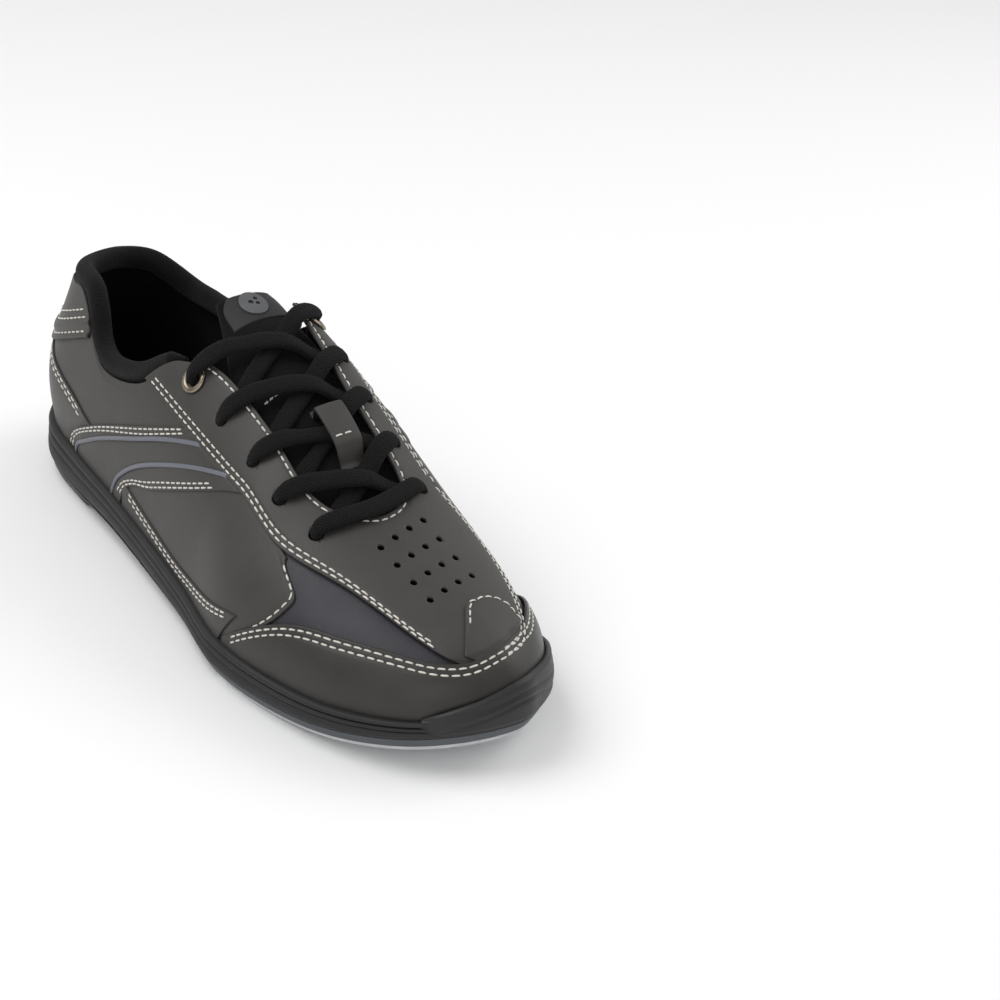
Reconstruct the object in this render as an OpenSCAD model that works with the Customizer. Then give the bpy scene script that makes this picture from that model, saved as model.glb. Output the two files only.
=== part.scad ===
// Low-cut bowling shoe, right foot.
// Frame: +X points to the toe, +Y to the inner (medial) side, +Z up; the shoe stands on z = 0.
//
// Every leather, lining and board panel lies on one smooth last surface.  A point of that surface
// is named by p, its place around the feather line (0 heel, 12 toe tip, 24 heel again: 0 to 12 is
// the outer side, 12 to 24 the inner side), and by phi, its angle up the wall (0 at the feather
// line, 90 on the ridge of the instep).  A third number, d, is its distance outside the surface.

/* [Size] */
// Length of the upper at the feather line
shoe_length = 292; // [270:1:310]
// Width of the upper across the ball at the feather line
shoe_width = 104; // [92:1:112]
// Scale of the height of the upper above the sole
instep_scale = 1.0; // [0.94:0.01:1.06]

/* [Sole] */
// How far the sole edge stands outside the upper
sole_margin = 3; // [2:0.1:4]
// Rise of the sole at the toe tip
toe_spring = 11.5; // [8:0.5:13]
// Thickness of the slide pad under the forefoot
pad_t = 1.6; // [1.2:0.1:2]
// Thickness of the grey rubber layer above the slide pad
layer_t = 4; // [3:0.5:5]
// Thickness of the black rubber heel and arch tread
tread_t = 6; // [5:0.5:7]
// Hollow of the sole under the arch
arch_rise = 2.6; // [1.5:0.1:3]
// Width of each flex groove
groove_w = 2.4; // [1.5:0.1:3]

/* [Upper] */
// Thickness of one leather layer
leather_t = 0.8; // [0.6:0.1:0.8]
// Radius of the padded collar roll
collar_r = 4.2; // [3:0.1:4.6]
// Thickness of the padded tongue
tongue_t = 3.2; // [2.5:0.1:3.4]

/* [Lacing] */
// Width of the flat lace
lace_w = 7.6; // [6:0.2:8]
// Thickness of the flat lace
lace_t = 3.0; // [2:0.1:3.2]
// Diameter of an eyelet hole
eyelet_d = 6.4; // [6:0.1:7]
// Outer diameter of a metal grommet
grommet_d = 11; // [9.5:0.5:12]

/* [Ventilation] */
// Diameter of a vent hole in the vamp
vent_d = 2.2; // [1.5:0.1:2.6]
// Vent holes across each row
vent_columns = 4; // [3:1:4]
// Rows of vent holes
vent_rows = 4; // [3:1:4]

/* [Hidden] */
$fn = 48;

// Moves the shoe so that its box is centred on the origin
shift = [0.36, 3.46, 0];
// Scale factors of the tables below, which are drawn for a 292 x 104 mm upper
kx = shoe_length / 292;
ky = shoe_width / 104;
kz = instep_scale;

// Feather line, from the heel along the outer side to the toe and back along the inner side
FEATHER = [[-146, 0], [-139, -22.5], [-120, -36.5], [-90, -41], [-55, -43], [-20, -46],
    [15, -50], [48, -55.5], [80, -52], [108, -44], [130, -29.5], [142, -12], [146, 6],
    [142, 17], [130, 31.5], [108, 44], [80, 48.5], [48, 46.5], [15, 41.5], [-20, 38],
    [-55, 36.5], [-90, 36], [-120, 32], [-139, 20]];
// Ridge of the last at stations 0 to 12
RIDGE = [[-108, 0], [-106, 0], [-100, 0], [-84, 1], [-55, 3], [-20, 6], [15, 7], [45, 7],
    [72, 6.5], [92, 6], [106, 6], [112, 6], [114, 6]];
// Height of the feather line at stations 0 to 12
FEATHER_Z = [24, 24, 24, 23, 21, 19, 17, 16, 16, 17.5, 20, 22.5, 23.5];
// Height of the ridge every 30 mm from x = -150 to x = 150
RIDGE_Z = [126, 125.5, 122.5, 114, 106, 96.5, 83.5, 66.5, 54.5, 46.5, 42];
// Fullness of the wall (exponent of its superellipse) around the feather line
FULLNESS = [2.4, 2.4, 2.35, 2.3, 2.15, 2, 2, 2.1, 2.2, 2.3, 2.4, 2.45, 2.45, 2.45, 2.4, 2.3,
    2.35, 2.5, 2.75, 3, 2.9, 2.6, 2.45, 2.4];
// The heel swells out above the feather line by this much, then leans in as much at the top
HEEL_SWELL = 4;

// Distances of the layers from the last surface: [inner face, outer face]
LINING = [-4.5, -3.7];
STIFFENER = [-3.35, -2.85];
UNDERLAY = [-2.5, -2.5 + leather_t];
PANEL = [-1.4, -1.4 + leather_t];
OVERLAY = [-0.3, -0.3 + leather_t];
PATCH = [0.8, 0.8 + leather_t];
fit_gap = 0.3;

leather = "#464440";
dark_leather = "#393735";
blue_leather = "#35353a";
fabric = "#1b1b1b";
rubber_black = "#232228";
rubber_grey = "#5a5e62";

// ---- curves ------------------------------------------------------------------------------

function wrap(i, n) = ((i % n) + n) % n;
function spline(a, b, c, d, f) =
    0.5 * (2 * b + (c - a) * f + (2 * a - 5 * b + 4 * c - d) * f * f
    + (3 * b - a - 3 * c + d) * f * f * f);
// Smooth closed curve through the points of a table
function loop_at(P, t) =
    let (n = len(P), i = floor(t), f = t - i)
    spline(P[wrap(i - 1, n)], P[wrap(i, n)], P[wrap(i + 1, n)], P[wrap(i + 2, n)], f);
// Smooth open curve through the points of a table
function row_at(P, t) =
    let (n = len(P) - 1, s = min(max(t, 0), n), i = min(floor(s), n - 1), f = s - i,
        a = i == 0 ? 2 * P[0] - P[1] : P[i - 1],
        d = i == n - 1 ? 2 * P[n] - P[n - 1] : P[i + 2])
    spline(a, P[i], P[i + 1], d, f);
function mix(a, b, t) = a + (b - a) * t;
// The same curve on the other side of the shoe
function other_side(C) = [for (c = C) [24 - c[0], c[1]]];

// ---- last surface ------------------------------------------------------------------------

function station(p) = let (q = p < 0 ? p + 24 : p >= 24 ? p - 24 : p) q <= 12 ? q : 24 - q;
function feather_at(p) = let (f = loop_at(FEATHER, p)) [kx * f[0], ky * f[1]];
function outward(p) =
    let (t = feather_at(p + 0.05) - feather_at(p - 0.05)) [t[1], -t[0]] / norm(t);
function rim_at(p, d) = feather_at(p) + d * outward(p);
function ridge_at(p) = let (r = row_at(RIDGE, station(p))) [kx * r[0], ky * r[1]];
function feather_z(p) = row_at(FEATHER_Z, station(p));
function ridge_z(x) =
    let (z = row_at(RIDGE_Z, (x / kx + 150) / 30)) 20 + kz * (z - 20);
function smooth(t) = let (s = min(max(t, 0), 1)) s * s * (3 - 2 * s);
function heel_swell(p, rise) =
    HEEL_SWELL * smooth(1 - station(p) / 4) * sin(180 * min(rise / 0.42, 1.5));
function on_last(p, phi, d) =
    let (n = loop_at(FULLNESS, p), ridge = ridge_at(p),
        c = pow(max(cos(phi), 0), 2 / n), s = pow(max(sin(phi), 0), 2 / n),
        xy = ridge + (rim_at(p, d + heel_swell(p, s)) - ridge) * c,
        low = feather_z(p), high = ridge_z(xy[0]) + d)
    [xy[0], xy[1], low + (high - low) * s];
// Which way a plan point lies from the ray that runs from the ridge to the feather line at p
function ahead(x, y, p) =
    let (r = ridge_at(p), b = feather_at(p) - r) b[0] * (y - r[1]) - b[1] * (x - r[0]);
function find_ray(x, y, lo, hi, k) =
    let (mid = (lo + hi) / 2)
    k == 0 ? mid
    : ahead(x, y, mid) > 0 ? find_ray(x, y, mid, hi, k - 1) : find_ray(x, y, lo, mid, k - 1);
// Point of the surface above the plan point (x, y)
function above(x, y, d) =
    let (left = find_ray(x, y, 0, 12, 16), right = find_ray(x, y, 12, 24, 16),
        ml = ridge_at(left)[1], p = y < ml ? left : right,
        r = ridge_at(p), n = loop_at(FULLNESS, p),
        reach = norm([x, y] - r) / norm(feather_at(p) - r),
        phi = acos(min(pow(reach, n / 2), 1)))
    on_last(p, phi, d);

// ---- solids ------------------------------------------------------------------------------

// Closed sheet between two equal grids of points.  A folded sheet closes on itself along the
// last column, where its first half meets its second half on the ridge.
module sheet(outer, inner, fold = false) {
    rows = len(outer);
    cols = len(outer[0]);
    n = rows * cols;
    half = (rows - 1) / 2;
    function id(i, j) = (fold && j == cols - 1 && i > half ? rows - 1 - i : i) * cols + j;
    i = floor(rows / 3);
    j = floor(cols / 3);
    along = outer[i + 1][j] - outer[i][j];
    across = outer[i][j + 1] - outer[i][j];
    flip = cross(along, across) * (outer[i][j] - inner[i][j]) > 0;
    quads = concat(
        [for (i = [0 : rows - 2]) for (j = [0 : cols - 2])
            [id(i, j), id(i + 1, j), id(i + 1, j + 1), id(i, j + 1)]],
        [for (i = [0 : rows - 2]) for (j = [0 : cols - 2])
            [n + id(i, j), n + id(i, j + 1), n + id(i + 1, j + 1), n + id(i + 1, j)]],
        [for (i = [0 : rows - 2]) [id(i + 1, 0), id(i, 0), n + id(i, 0), n + id(i + 1, 0)]],
        fold ? [] : [for (i = [0 : rows - 2])
            [id(i, cols - 1), id(i + 1, cols - 1), n + id(i + 1, cols - 1),
                n + id(i, cols - 1)]],
        [for (j = [0 : cols - 2]) [id(0, j), id(0, j + 1), n + id(0, j + 1), n + id(0, j)]],
        [for (j = [0 : cols - 2])
            [id(rows - 1, j + 1), id(rows - 1, j), n + id(rows - 1, j),
                n + id(rows - 1, j + 1)]]);
    tris = [for (q = quads) each [[q[0], q[1], q[2]], [q[0], q[2], q[3]]]];
    faces = [for (t = tris) if (t[0] != t[1] && t[1] != t[2] && t[0] != t[2])
        flip ? [t[2], t[1], t[0]] : t];
    polyhedron(points = concat([for (r = outer) each r], [for (r = inner) each r]),
        faces = faces, convexity = 8);
}

// Grid of points between two edge curves, each a list of [p, phi] or of [x, y]
function patch_grid(A, B, rows, cols) =
    [for (i = [0 : rows])
        let (a = row_at(A, i / rows * (len(A) - 1)), b = row_at(B, i / rows * (len(B) - 1)))
        [for (j = [0 : cols]) mix(a, b, j / cols)]];
// Panel of one layer between two curves given around the wall
module wall_panel(A, B, rows, cols, layer, fold = false) {
    G = patch_grid(A, B, rows, cols);
    sheet([for (r = G) [for (q = r) on_last(q[0], q[1], layer[1])]],
        [for (r = G) [for (q = r) on_last(q[0], q[1], layer[0])]], fold);
}
// Panel of one layer between two curves drawn in plan over the instep
module top_panel(A, B, rows, cols, layer) {
    G = patch_grid(A, B, rows, cols);
    sheet([for (r = G) [for (q = r) above(kx * q[0], ky * q[1], layer[1])]],
        [for (r = G) [for (q = r) above(kx * q[0], ky * q[1], layer[0])]]);
}

function sum_of(L, i = 0) = i == len(L) - 1 ? L[i] : L[i] + sum_of(L, i + 1);
// Solid lofted through equal closed sections.  An end that has shrunk to a line needs no cap:
// there each point of the first half of the section meets its twin in the second half.
module loft(sections, cap_start = true, cap_end = true) {
    m = len(sections[0]);
    rows = len(sections);
    k = floor(rows / 2);
    S = sections[k];
    facing = sum_of([for (j = [0 : m - 1]) cross(S[j] - S[0], S[(j + 1) % m] - S[0])]);
    onward = sum_of(sections[k + 1]) - sum_of(S);
    flip = facing * onward < 0;
    function merged(i) = (i == 0 && !cap_start) || (i == rows - 1 && !cap_end);
    function id(i, j) = i * m + (merged(i) ? min(j, m - 1 - j) : j);
    sides = [for (i = [0 : rows - 2]) for (j = [0 : m - 1]) let (h = (j + 1) % m)
        each [[id(i, j), id(i, h), id(i + 1, h)], [id(i, j), id(i + 1, h), id(i + 1, j)]]];
    start = [for (j = [1 : m - 2]) [0, j + 1, j]];
    end = [for (j = [1 : m - 2]) [0, j, j + 1] + [1, 1, 1] * (rows - 1) * m];
    faces = concat(sides, cap_start ? start : [], cap_end ? end : []);
    polyhedron(points = [for (s = sections) each s],
        faces = [for (t = faces) if (t[0] != t[1] && t[1] != t[2] && t[0] != t[2])
            flip ? t : [t[2], t[1], t[0]]], convexity = 8);
}

// Flat or oval tube swept along a route; up(i) turns its flat side
function ring(P, i, width, height, sides, lift) =
    let (n = len(P), t = P[min(i + 1, n - 1)] - P[max(i - 1, 0)], f = t / norm(t),
        s = cross(f, lift), side = s / norm(s), up = cross(side, f))
    [for (k = [0 : sides - 1])
        let (a = 360 * k / sides) P[i] + side * width / 2 * cos(a) + up * height / 2 * sin(a)];

// ---- sole --------------------------------------------------------------------------------

ball_x = 60;
heel_breast_x = -87;
pad_back_x = 14;
bevel_x = -128;
// Height of the walking face above the floor
function ground_z(x) =
    let (q = x / kx,
        spring = q > ball_x ? toe_spring * pow((q - ball_x) / 89, 2) : 0,
        bevel = q < bevel_x ? 2.5 * pow((bevel_x - q) / 21, 2) : 0,
        arch = arch_rise * smooth((q - heel_breast_x) / 4) * smooth((pad_back_x - q) / 4))
    spring + bevel + arch;
// How far the walking face is drawn in under the inner side of the waist
function waist(p) = let (u = station(p)) p < 12 ? 1.5 * smooth(1 - abs(u - 4.5) / 3)
    : 8 * smooth(1 - abs(u - 4.8) / 3);
// Edge of the sole at p: d outside the upper, and drawn in towards the floor by t (0 to 1)
function sole_rim(p, d, t) = rim_at(p, d - waist(p) * t);

// Section of a sole layer across the shoe at station u: its outer side is a list of
// [d, t], where t runs from 0 at the bottom face to 1 at the top face
function sole_section(u, profile, bottom, top, draw_in) =
    let (side = function (p) [for (q = profile)
        let (xy = sole_rim(p, q[0], draw_in * (1 - q[1])))
        [xy[0], xy[1], mix(bottom(xy[0], p), top(xy[0], p), q[1])]])
    concat(side(u), [for (k = [len(profile) - 1 : -1 : 0]) side(24 - u)[k]]);
module sole_layer(u0, u1, steps, profile, bottom, top, draw_in = 1) {
    loft([for (i = [0 : steps])
        sole_section(mix(u0, u1, i / steps), profile, bottom, top, draw_in)],
        u0 > 0, u1 < 12);
}

// Top of the tread and of the rubber layer, which is the bottom of the midsole
function deck_z(x) =
    ground_z(x) * (x / kx > ball_x ? 1 : 0)
    + mix(tread_t + 1.8, pad_t + layer_t, smooth((x / kx + 75) / 90));
function plain(d) = [[d, 0], [d, 1]];

module slide_pad() color("#c0c2c4") translate(shift) difference() {
    sole_layer(6.9, 12, 26, plain(-0.6), function (x, p) ground_z(x),
        function (x, p) ground_z(x) + pad_t);
    translate([0, 0, -1]) linear_extrude(10) pad_back_cutter();
    for (k = [0 : 3]) groove(k, groove_w, -1, 4);
}
// Plan outline behind the V-shaped rear edge of the pad
module pad_back_cutter(back = 0) {
    polygon([[60 - back, -70], [38 - back, -38], [16 - back, -14], [14 - back, 0],
        [16 - back, 12], [42 - back, 36], [58 - back, 70], [-20, 70], [-20, -70]]);
}
// One curved flex groove across the pad: an arc about a point far behind it
groove_radius = 150;
function groove_x(k) = 48 + 9.5 * k;
module groove(k, w, z, h) {
    centre = [kx * groove_x(k) - groove_radius, 2, z];
    translate(centre) rotate(-12.5) rotate_extrude(angle = 25, $fn = 180)
        translate([groove_radius - w / 2, 0]) square([w, h]);
}
module flex_grooves() color("#74777f") translate(shift)
    for (k = [0 : 3]) groove(k, groove_w - 0.2, 0.6, pad_t - 0.7);

module pad_edge_band() color("#4a4c50") translate(shift) difference() {
    sole_layer(6.0, 8.2, 10, plain(-0.6), function (x, p) 0.2,
        function (x, p) pad_t);
    translate([0, 0, -1]) linear_extrude(10) pad_back_cutter(4.6);
    translate([0, 0, -1]) linear_extrude(10) difference() {
        translate([-30, -90]) square([160, 180]);
        pad_back_cutter(fit_gap);
    }
}

module forefoot_rubber() color(rubber_grey) translate(shift) difference() {
    sole_layer(6.0, 12, 28, [[0.6, 0], [1.6, 0.5], [sole_margin - 0.6, 1]],
        function (x, p) ground_z(x) * (x / kx > ball_x ? 1 : 0) + pad_t + 0.05,
        function (x, p) deck_z(x) - 0.05);
    translate([0, 0, -1]) linear_extrude(20) pad_back_cutter(5);
}

module heel_arch_tread() color(rubber_black) translate(shift) difference() {
    sole_layer(0, 7.6, 34, [[-1, 0], [0.8, 0.3], [sole_margin - 0.8, 1]],
        function (x, p) ground_z(x), function (x, p) deck_z(x) - 0.05);
    translate([0, 0, -1]) linear_extrude(30) difference() {
        translate([0, -90]) square([120, 180]);
        pad_back_cutter(5.4);
    }
    inlays(fit_gap / 2);
}
// Grey inlays let into the tread: a centre stripe, two curved chevrons and a heel crescent
inlay_t = 1.6;
module stripe_outline(gap) {
    translate([-56 - gap, -10 - gap]) square([64 + 2 * gap, 20 + 2 * gap]);
}
module chevron_outline(gap) {
    for (side = [-1, 1]) intersection() {
        translate([-100, side * 72]) difference() {
            circle(r = 69 + gap, $fn = 120);
            circle(r = 52 - gap, $fn = 120);
        }
        translate([-80 - gap, side * 20.5 - 8.5 - gap]) square([50, 17 + 2 * gap]);
    }
}
module crescent_outline(gap) {
    difference() {
        translate([-112, 0]) circle(r = 25 + gap, $fn = 96);
        translate([-104, 0]) circle(r = 21 - gap, $fn = 96);
    }
}
module inlays(gap) {
    translate([0, 0, -1]) linear_extrude(1 + arch_rise + inlay_t) {
        stripe_outline(gap);
        chevron_outline(gap);
    }
    translate([0, 0, -1]) linear_extrude(1 + inlay_t) crescent_outline(gap);
}
module centre_stripe() color(rubber_grey) translate(shift)
    translate([0, 0, arch_rise + 0.2]) linear_extrude(inlay_t - 0.35) stripe_outline(0);
module arch_chevrons() color(rubber_grey) translate(shift)
    translate([0, 0, arch_rise + 0.2]) linear_extrude(inlay_t - 0.35) chevron_outline(0);
module heel_crescent() color(rubber_grey) translate(shift)
    translate([0, 0, 0.2]) linear_extrude(inlay_t - 0.35) crescent_outline(0);

module midsole() color("#2a2a2a") translate(shift) sole_layer(0, 12, 46,
    [[sole_margin - 0.6, 0], [sole_margin + 0.4, 0.2], [sole_margin + 0.2, 0.5],
        [sole_margin - 0.9, 0.56], [sole_margin - 0.9, 0.64], [sole_margin, 0.7],
        [sole_margin - 0.8, 1]],
    function (x, p) deck_z(x), function (x, p) feather_z(p) - fit_gap, 0.6);

// Rubber toe guard that rises from the midsole over the toe cap
module toe_bumper() color(rubber_black) translate(shift)
    wall_panel([[10.6, 0.4], [11.4, 0.4], [12.4, 0.4], [13.6, 0.4], [15, 0.4]],
        [[10.6, 1.5], [11.2, 11], [12.2, 23], [13.6, 18], [15, 3]], 28, 4, [0.9, 3.2]);

// ---- inside of the sole ------------------------------------------------------------------

function inner_rim(u, d, z) = [let (a = rim_at(u, d)) [a[0], a[1], z],
    let (b = rim_at(24 - u, d)) [b[0], b[1], z]];
module board(u0, u1, steps, inset, rise, t) {
    loft([for (i = [0 : steps])
        let (u = mix(u0, u1, i / steps), z = feather_z(u) + rise)
        concat(inner_rim(u, -inset, z), [for (k = [1, 0]) inner_rim(u, -inset, z + t)[k]])],
        true, true);
}
shank_t = 1.2;
module shank() color("#8a8d90") translate(shift)
    loft([for (i = [0 : 12])
        let (x = mix(-95, 5, i / 12), u = (x + 125) / 35 + 2, z = feather_z(u) + 0.1)
        [[kx * x, -7, z], [kx * x, 9, z], [kx * x, 9, z + shank_t], [kx * x, -7, z + shank_t]]]);
module cork_filler() color("#9b7a4d") translate(shift) board(6.8, 11.1, 16, 7.5, 0.1, 0.9);
module insole_board() color("#b9a27c") translate(shift) board(0.25, 11.75, 32, 5.6, 1.6, 1.6);
module footbed() color("#26262a") translate(shift) board(0.3, 11.7, 32, 6.2, 3.5, 3.6);

// ---- upper -------------------------------------------------------------------------------

// Top edge of the leather around the collar, from the heel to the top eyelet on either side;
// it dips sooner on the inner side
INNER_COLLAR = [[0, 30], [1, 28], [2, 20.5], [2.5, 19.3], [2.8, 19], [3.1, 19.3], [3.4, 20.3],
    [3.75, 23], [4.1, 30], [4.45, 42], [4.75, 53]];
COLLAR = [[0, 30], [1, 31], [2, 34], [2.5, 35], [2.8, 31], [3.1, 24], [3.4, 22], [3.75, 25],
    [4.1, 31], [4.45, 42], [4.75, 53]];
COLLAR_LOOP = concat([for (k = [len(INNER_COLLAR) - 1 : -1 : 1])
    [-INNER_COLLAR[k][0], INNER_COLLAR[k][1]]], COLLAR);
LINING_FOOT = [for (k = [-10 : 10]) [k * 7.7 / 10, 0.6]];
LINING_TOP = concat([[-7.7, 46], [-6.6, 42], [-5.6, 40]],
    [for (k = [2 : len(COLLAR_LOOP) - 3]) COLLAR_LOOP[k] - [0, 3]], [[5.6, 40], [6.6, 42], [7.7, 46]]);
module quarter_lining() color(fabric) translate(shift)
    wall_panel(LINING_FOOT, LINING_TOP, 54, 7, LINING);

DOME_FOOT = [for (k = [0 : 8]) [8 + k, 0.6]];
DOME_RIDGE = [for (k = [0 : 8]) [8 + k, 90]];
module vamp_lining() color(fabric) translate(shift) wall_panel(DOME_FOOT, DOME_RIDGE, 28, 9, LINING, true);
module toe_puff() color("#6d6a62") translate(shift)
    wall_panel([for (k = [0 : 4]) [10 + k, 1]], [for (k = [0 : 4]) [10 + k, 90]],
        16, 8, STIFFENER, true);
module heel_stiffener() color("#6d6a62") translate(shift)
    wall_panel([[-3, 1], [-1.5, 1], [0, 1], [1.5, 1], [3, 1]],
        [[-3, 8], [-1.5, 19], [0, 23], [1.5, 19], [3, 8]], 28, 5, STIFFENER);

QUARTER_FOOT = [[0.02, 8], [1.4, 7.5], [2.6, 7], [3.4, 8], [4.2, 18], [4.9, 30], [5.35, 38]];
QUARTER_TOP = [[0.02, 29.5], [1.4, 32], [2.45, 34.5], [2.9, 28], [3.4, 22], [4.1, 31],
    [4.6, 46]];
module outer_quarter() color(leather) translate(shift) wall_panel(QUARTER_FOOT, QUARTER_TOP, 24, 5, PANEL);
INNER_QUARTER_TOP = [[0.02, 29.5], [1.3, 26], [2.2, 19.2], [2.8, 18.4], [3.4, 19.7],
    [4.1, 29.4], [4.6, 46]];
module inner_quarter() color(leather) translate(shift)
    wall_panel(other_side(QUARTER_FOOT), other_side(INNER_QUARTER_TOP), 24, 5, PANEL);

SIDE_FOOT = [[4.0, 0.3], [5, 0.3], [6, 0.3], [6.7, 0.3], [7.1, 0.3]];
SIDE_TOP = [[4.1, 14], [5, 31], [6.2, 46], [7.3, 49], [7.95, 46]];
module outer_side_panel() color(leather) translate(shift) wall_panel(SIDE_FOOT, SIDE_TOP, 18, 7, PANEL);
module inner_side_panel() color(leather) translate(shift)
    wall_panel(other_side(SIDE_FOOT), other_side(SIDE_TOP), 18, 7, PANEL);

UNDERLAY_FOOT = [[6.6, 0.3], [7.6, 0.3], [8.6, 0.3], [9.6, 0.3], [10.6, 0.3]];
UNDERLAY_TOP = [[7.0, 49], [7.9, 55], [8.6, 61], [9.5, 64], [10.4, 62]];
module outer_underlay() color(blue_leather) translate(shift)
    wall_panel(UNDERLAY_FOOT, UNDERLAY_TOP, 18, 7, UNDERLAY);
module inner_underlay() color(blue_leather) translate(shift)
    wall_panel(other_side(UNDERLAY_FOOT), other_side(UNDERLAY_TOP), 18, 7, UNDERLAY);

BAND_BACK = [[2.72, 0.3], [2.8, 3], [3.33, 8.5], [4.23, 21], [4.88, 31.5], [5.2, 37]];
BAND_FRONT = [[4.0, 0.3], [4.12, 5], [4.4, 10], [4.83, 15.5], [5.6, 28.5], [6.1, 38.5]];
PIPING_HIGH = [[2.98, 1.5], [3.33, 5.5], [4.28, 18.5], [4.9, 28], [5.4, 36.5]];
PIPING_LOW = [[3.95, 1.5], [4.1, 6], [4.58, 15.5], [5.35, 28], [5.9, 37.5]];
module outer_side_band() color(leather) translate(shift) wall_panel(BAND_BACK, BAND_FRONT, 16, 5, OVERLAY);
module inner_side_band() color(leather) translate(shift)
    wall_panel(other_side(BAND_BACK), other_side(BAND_FRONT), 16, 5, OVERLAY);

function rail(C, side, width, steps) = [for (i = [0 : steps])
    let (q = row_at(C, i / steps * (len(C) - 1)), p = side > 0 ? q[0] : 24 - q[0])
    [for (w = [-width, width]) [p, q[1] + w]]];
module piping_pair(side) {
    for (C = [PIPING_HIGH, PIPING_LOW]) {
        G = rail(C, side, 1.0, 16);
        sheet([for (r = G) [for (q = r) on_last(q[0], q[1], PATCH[1])]],
            [for (r = G) [for (q = r) on_last(q[0], q[1], PATCH[0])]]);
    }
}
module outer_piping() color("#7e8088") translate(shift) piping_pair(1);
module inner_piping() color("#7e8088") translate(shift) piping_pair(-1);

FOXING_FOOT = [[4.3, 0.3], [5, 0.3], [5.8, 0.3], [6.6, 0.3], [6.9, 0.3]];
FOXING_TOP = [[4.3, 4.5], [5, 3.5], [5.8, 3.5], [6.6, 6.5], [7.15, 11]];
module outer_foxing() color(dark_leather) translate(shift) wall_panel(FOXING_FOOT, FOXING_TOP, 16, 2, OVERLAY);
module inner_foxing() color(dark_leather) translate(shift)
    wall_panel(other_side(FOXING_FOOT), other_side(FOXING_TOP), 16, 2, OVERLAY);

COUNTER_FOOT = [for (k = [-2 : 2]) [k * 1.25, 0.3]];
COUNTER_TOP = [[-3, 6.5], [-1.6, 9], [0, 11], [1.6, 9], [3, 6.5]];
module heel_counter() color(leather) translate(shift) wall_panel(COUNTER_FOOT, COUNTER_TOP, 28, 3, OVERLAY);
TAB_FOOT = [[-2.3, 13.5], [-1.4, 13.5], [0, 15.5], [1.8, 20], [2.55, 29]];
TAB_TOP = [[-2.3, 18.8], [-1.4, 25.2], [0, 29.5], [1.8, 33], [2.55, 34.5]];
module back_tab() color(leather) translate(shift) wall_panel(TAB_FOOT, TAB_TOP, 28, 4, OVERLAY);

// Vamp with its outer eyestay leg, drawn in plan from the top outer eyelet round the throat
THROAT = [[-30, -23.5], [-4, -21], [20, -19.5], [45, -20], [60, -15], [68, -4], [68, 5],
    [64, 11.5], [58, 14.5], [52, 15.5]];
VAMP_RIM = [[-37, -32], [-6, -34.5], [29, -37], [58, -37], [90, -26], [126, -11], [131, 6],
    [121, 24], [93, 36], [59, 31.5]];
EYELETS_OUTER = [[-21, -27.5], [2, -28.5], [26, -29], [45, -29], [64, -25]];
EYELETS_INNER = [[-20, 24], [3, 22.5], [23, 21], [42, 21.5], [61, 21.5]];
EYELET_BORE = 14;
module eyelet_drill(x, y, d) {
    at = above(kx * x, ky * y, 0);
    side = above(kx * x, ky * y + 1, 0) - above(kx * x, ky * y - 1, 0);
    ahead = above(kx * x + 1, ky * y, 0) - above(kx * x - 1, ky * y, 0);
    n = cross(ahead, side) / norm(cross(ahead, side));
    tilt = acos(n[2]);
    translate(at) rotate([0, tilt, atan2(n[1], n[0])]) children();
}
// Vent holes fan out from the throat towards the toe
function vent_at(r, c) =
    let (x = mix(78, 103, r / 3) + 0.6 * c, y = mix(-6, 15, c / 3) + 0.8 * r)
    [x, y];
module vamp() color(leather) translate(shift) difference() {
    top_panel(THROAT, VAMP_RIM, 36, 6, OVERLAY);
    for (e = EYELETS_OUTER) eyelet_drill(e[0], e[1])
        cylinder(d = eyelet_d, h = EYELET_BORE, center = true);
    for (r = [0 : vent_rows - 1]) for (c = [0 : vent_columns - 1])
        let (v = vent_at(r, c)) eyelet_drill(v[0], v[1])
            cylinder(d = vent_d, h = 6, center = true, $fn = 16);
    eyelet_drill(EYELETS_INNER[4][0], EYELETS_INNER[4][1])
        cylinder(d = eyelet_d, h = EYELET_BORE, center = true);
}

STAY_INNER = [[-28, 19], [-18, 17.5], [0, 15.5], [20, 14], [35, 14.5], [50, 15.5]];
STAY_RIM = [[-35, 29.5], [-22, 30.5], [-2, 30], [20, 29], [38, 29.5], [56, 31.5]];
module inner_eyestay() color(leather) translate(shift) difference() {
    top_panel(STAY_INNER, STAY_RIM, 24, 4, OVERLAY);
    for (k = [0 : 3]) eyelet_drill(EYELETS_INNER[k][0], EYELETS_INNER[k][1])
        cylinder(d = eyelet_d, h = EYELET_BORE, center = true);
}

CAP_FOOT = [for (k = [0 : 9]) [7.1 + k, 0.3]];
CAP_TOP = [[7.1, 1.5], [8.05, 27], [8.8, 37], [9.7, 43], [10.9, 44.5], [12, 54], [13.2, 53],
    [14.1, 44], [14.9, 32], [16.1, 1.5]];
module toe_cap() color(dark_leather) translate(shift) wall_panel(CAP_FOOT, CAP_TOP, 36, 5, OVERLAY);
PATCH_BACK = [[112, 7], [113, 10], [112, 14], [113, 19], [117, 23]];
PATCH_FRONT = [[126, -3], [130, 1], [131, 8], [128, 17], [123, 22]];
module toe_patch() color(leather) translate(shift) top_panel(PATCH_BACK, PATCH_FRONT, 10, 5, PATCH);

// ---- tongue, collar and lacing -----------------------------------------------------------

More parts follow.
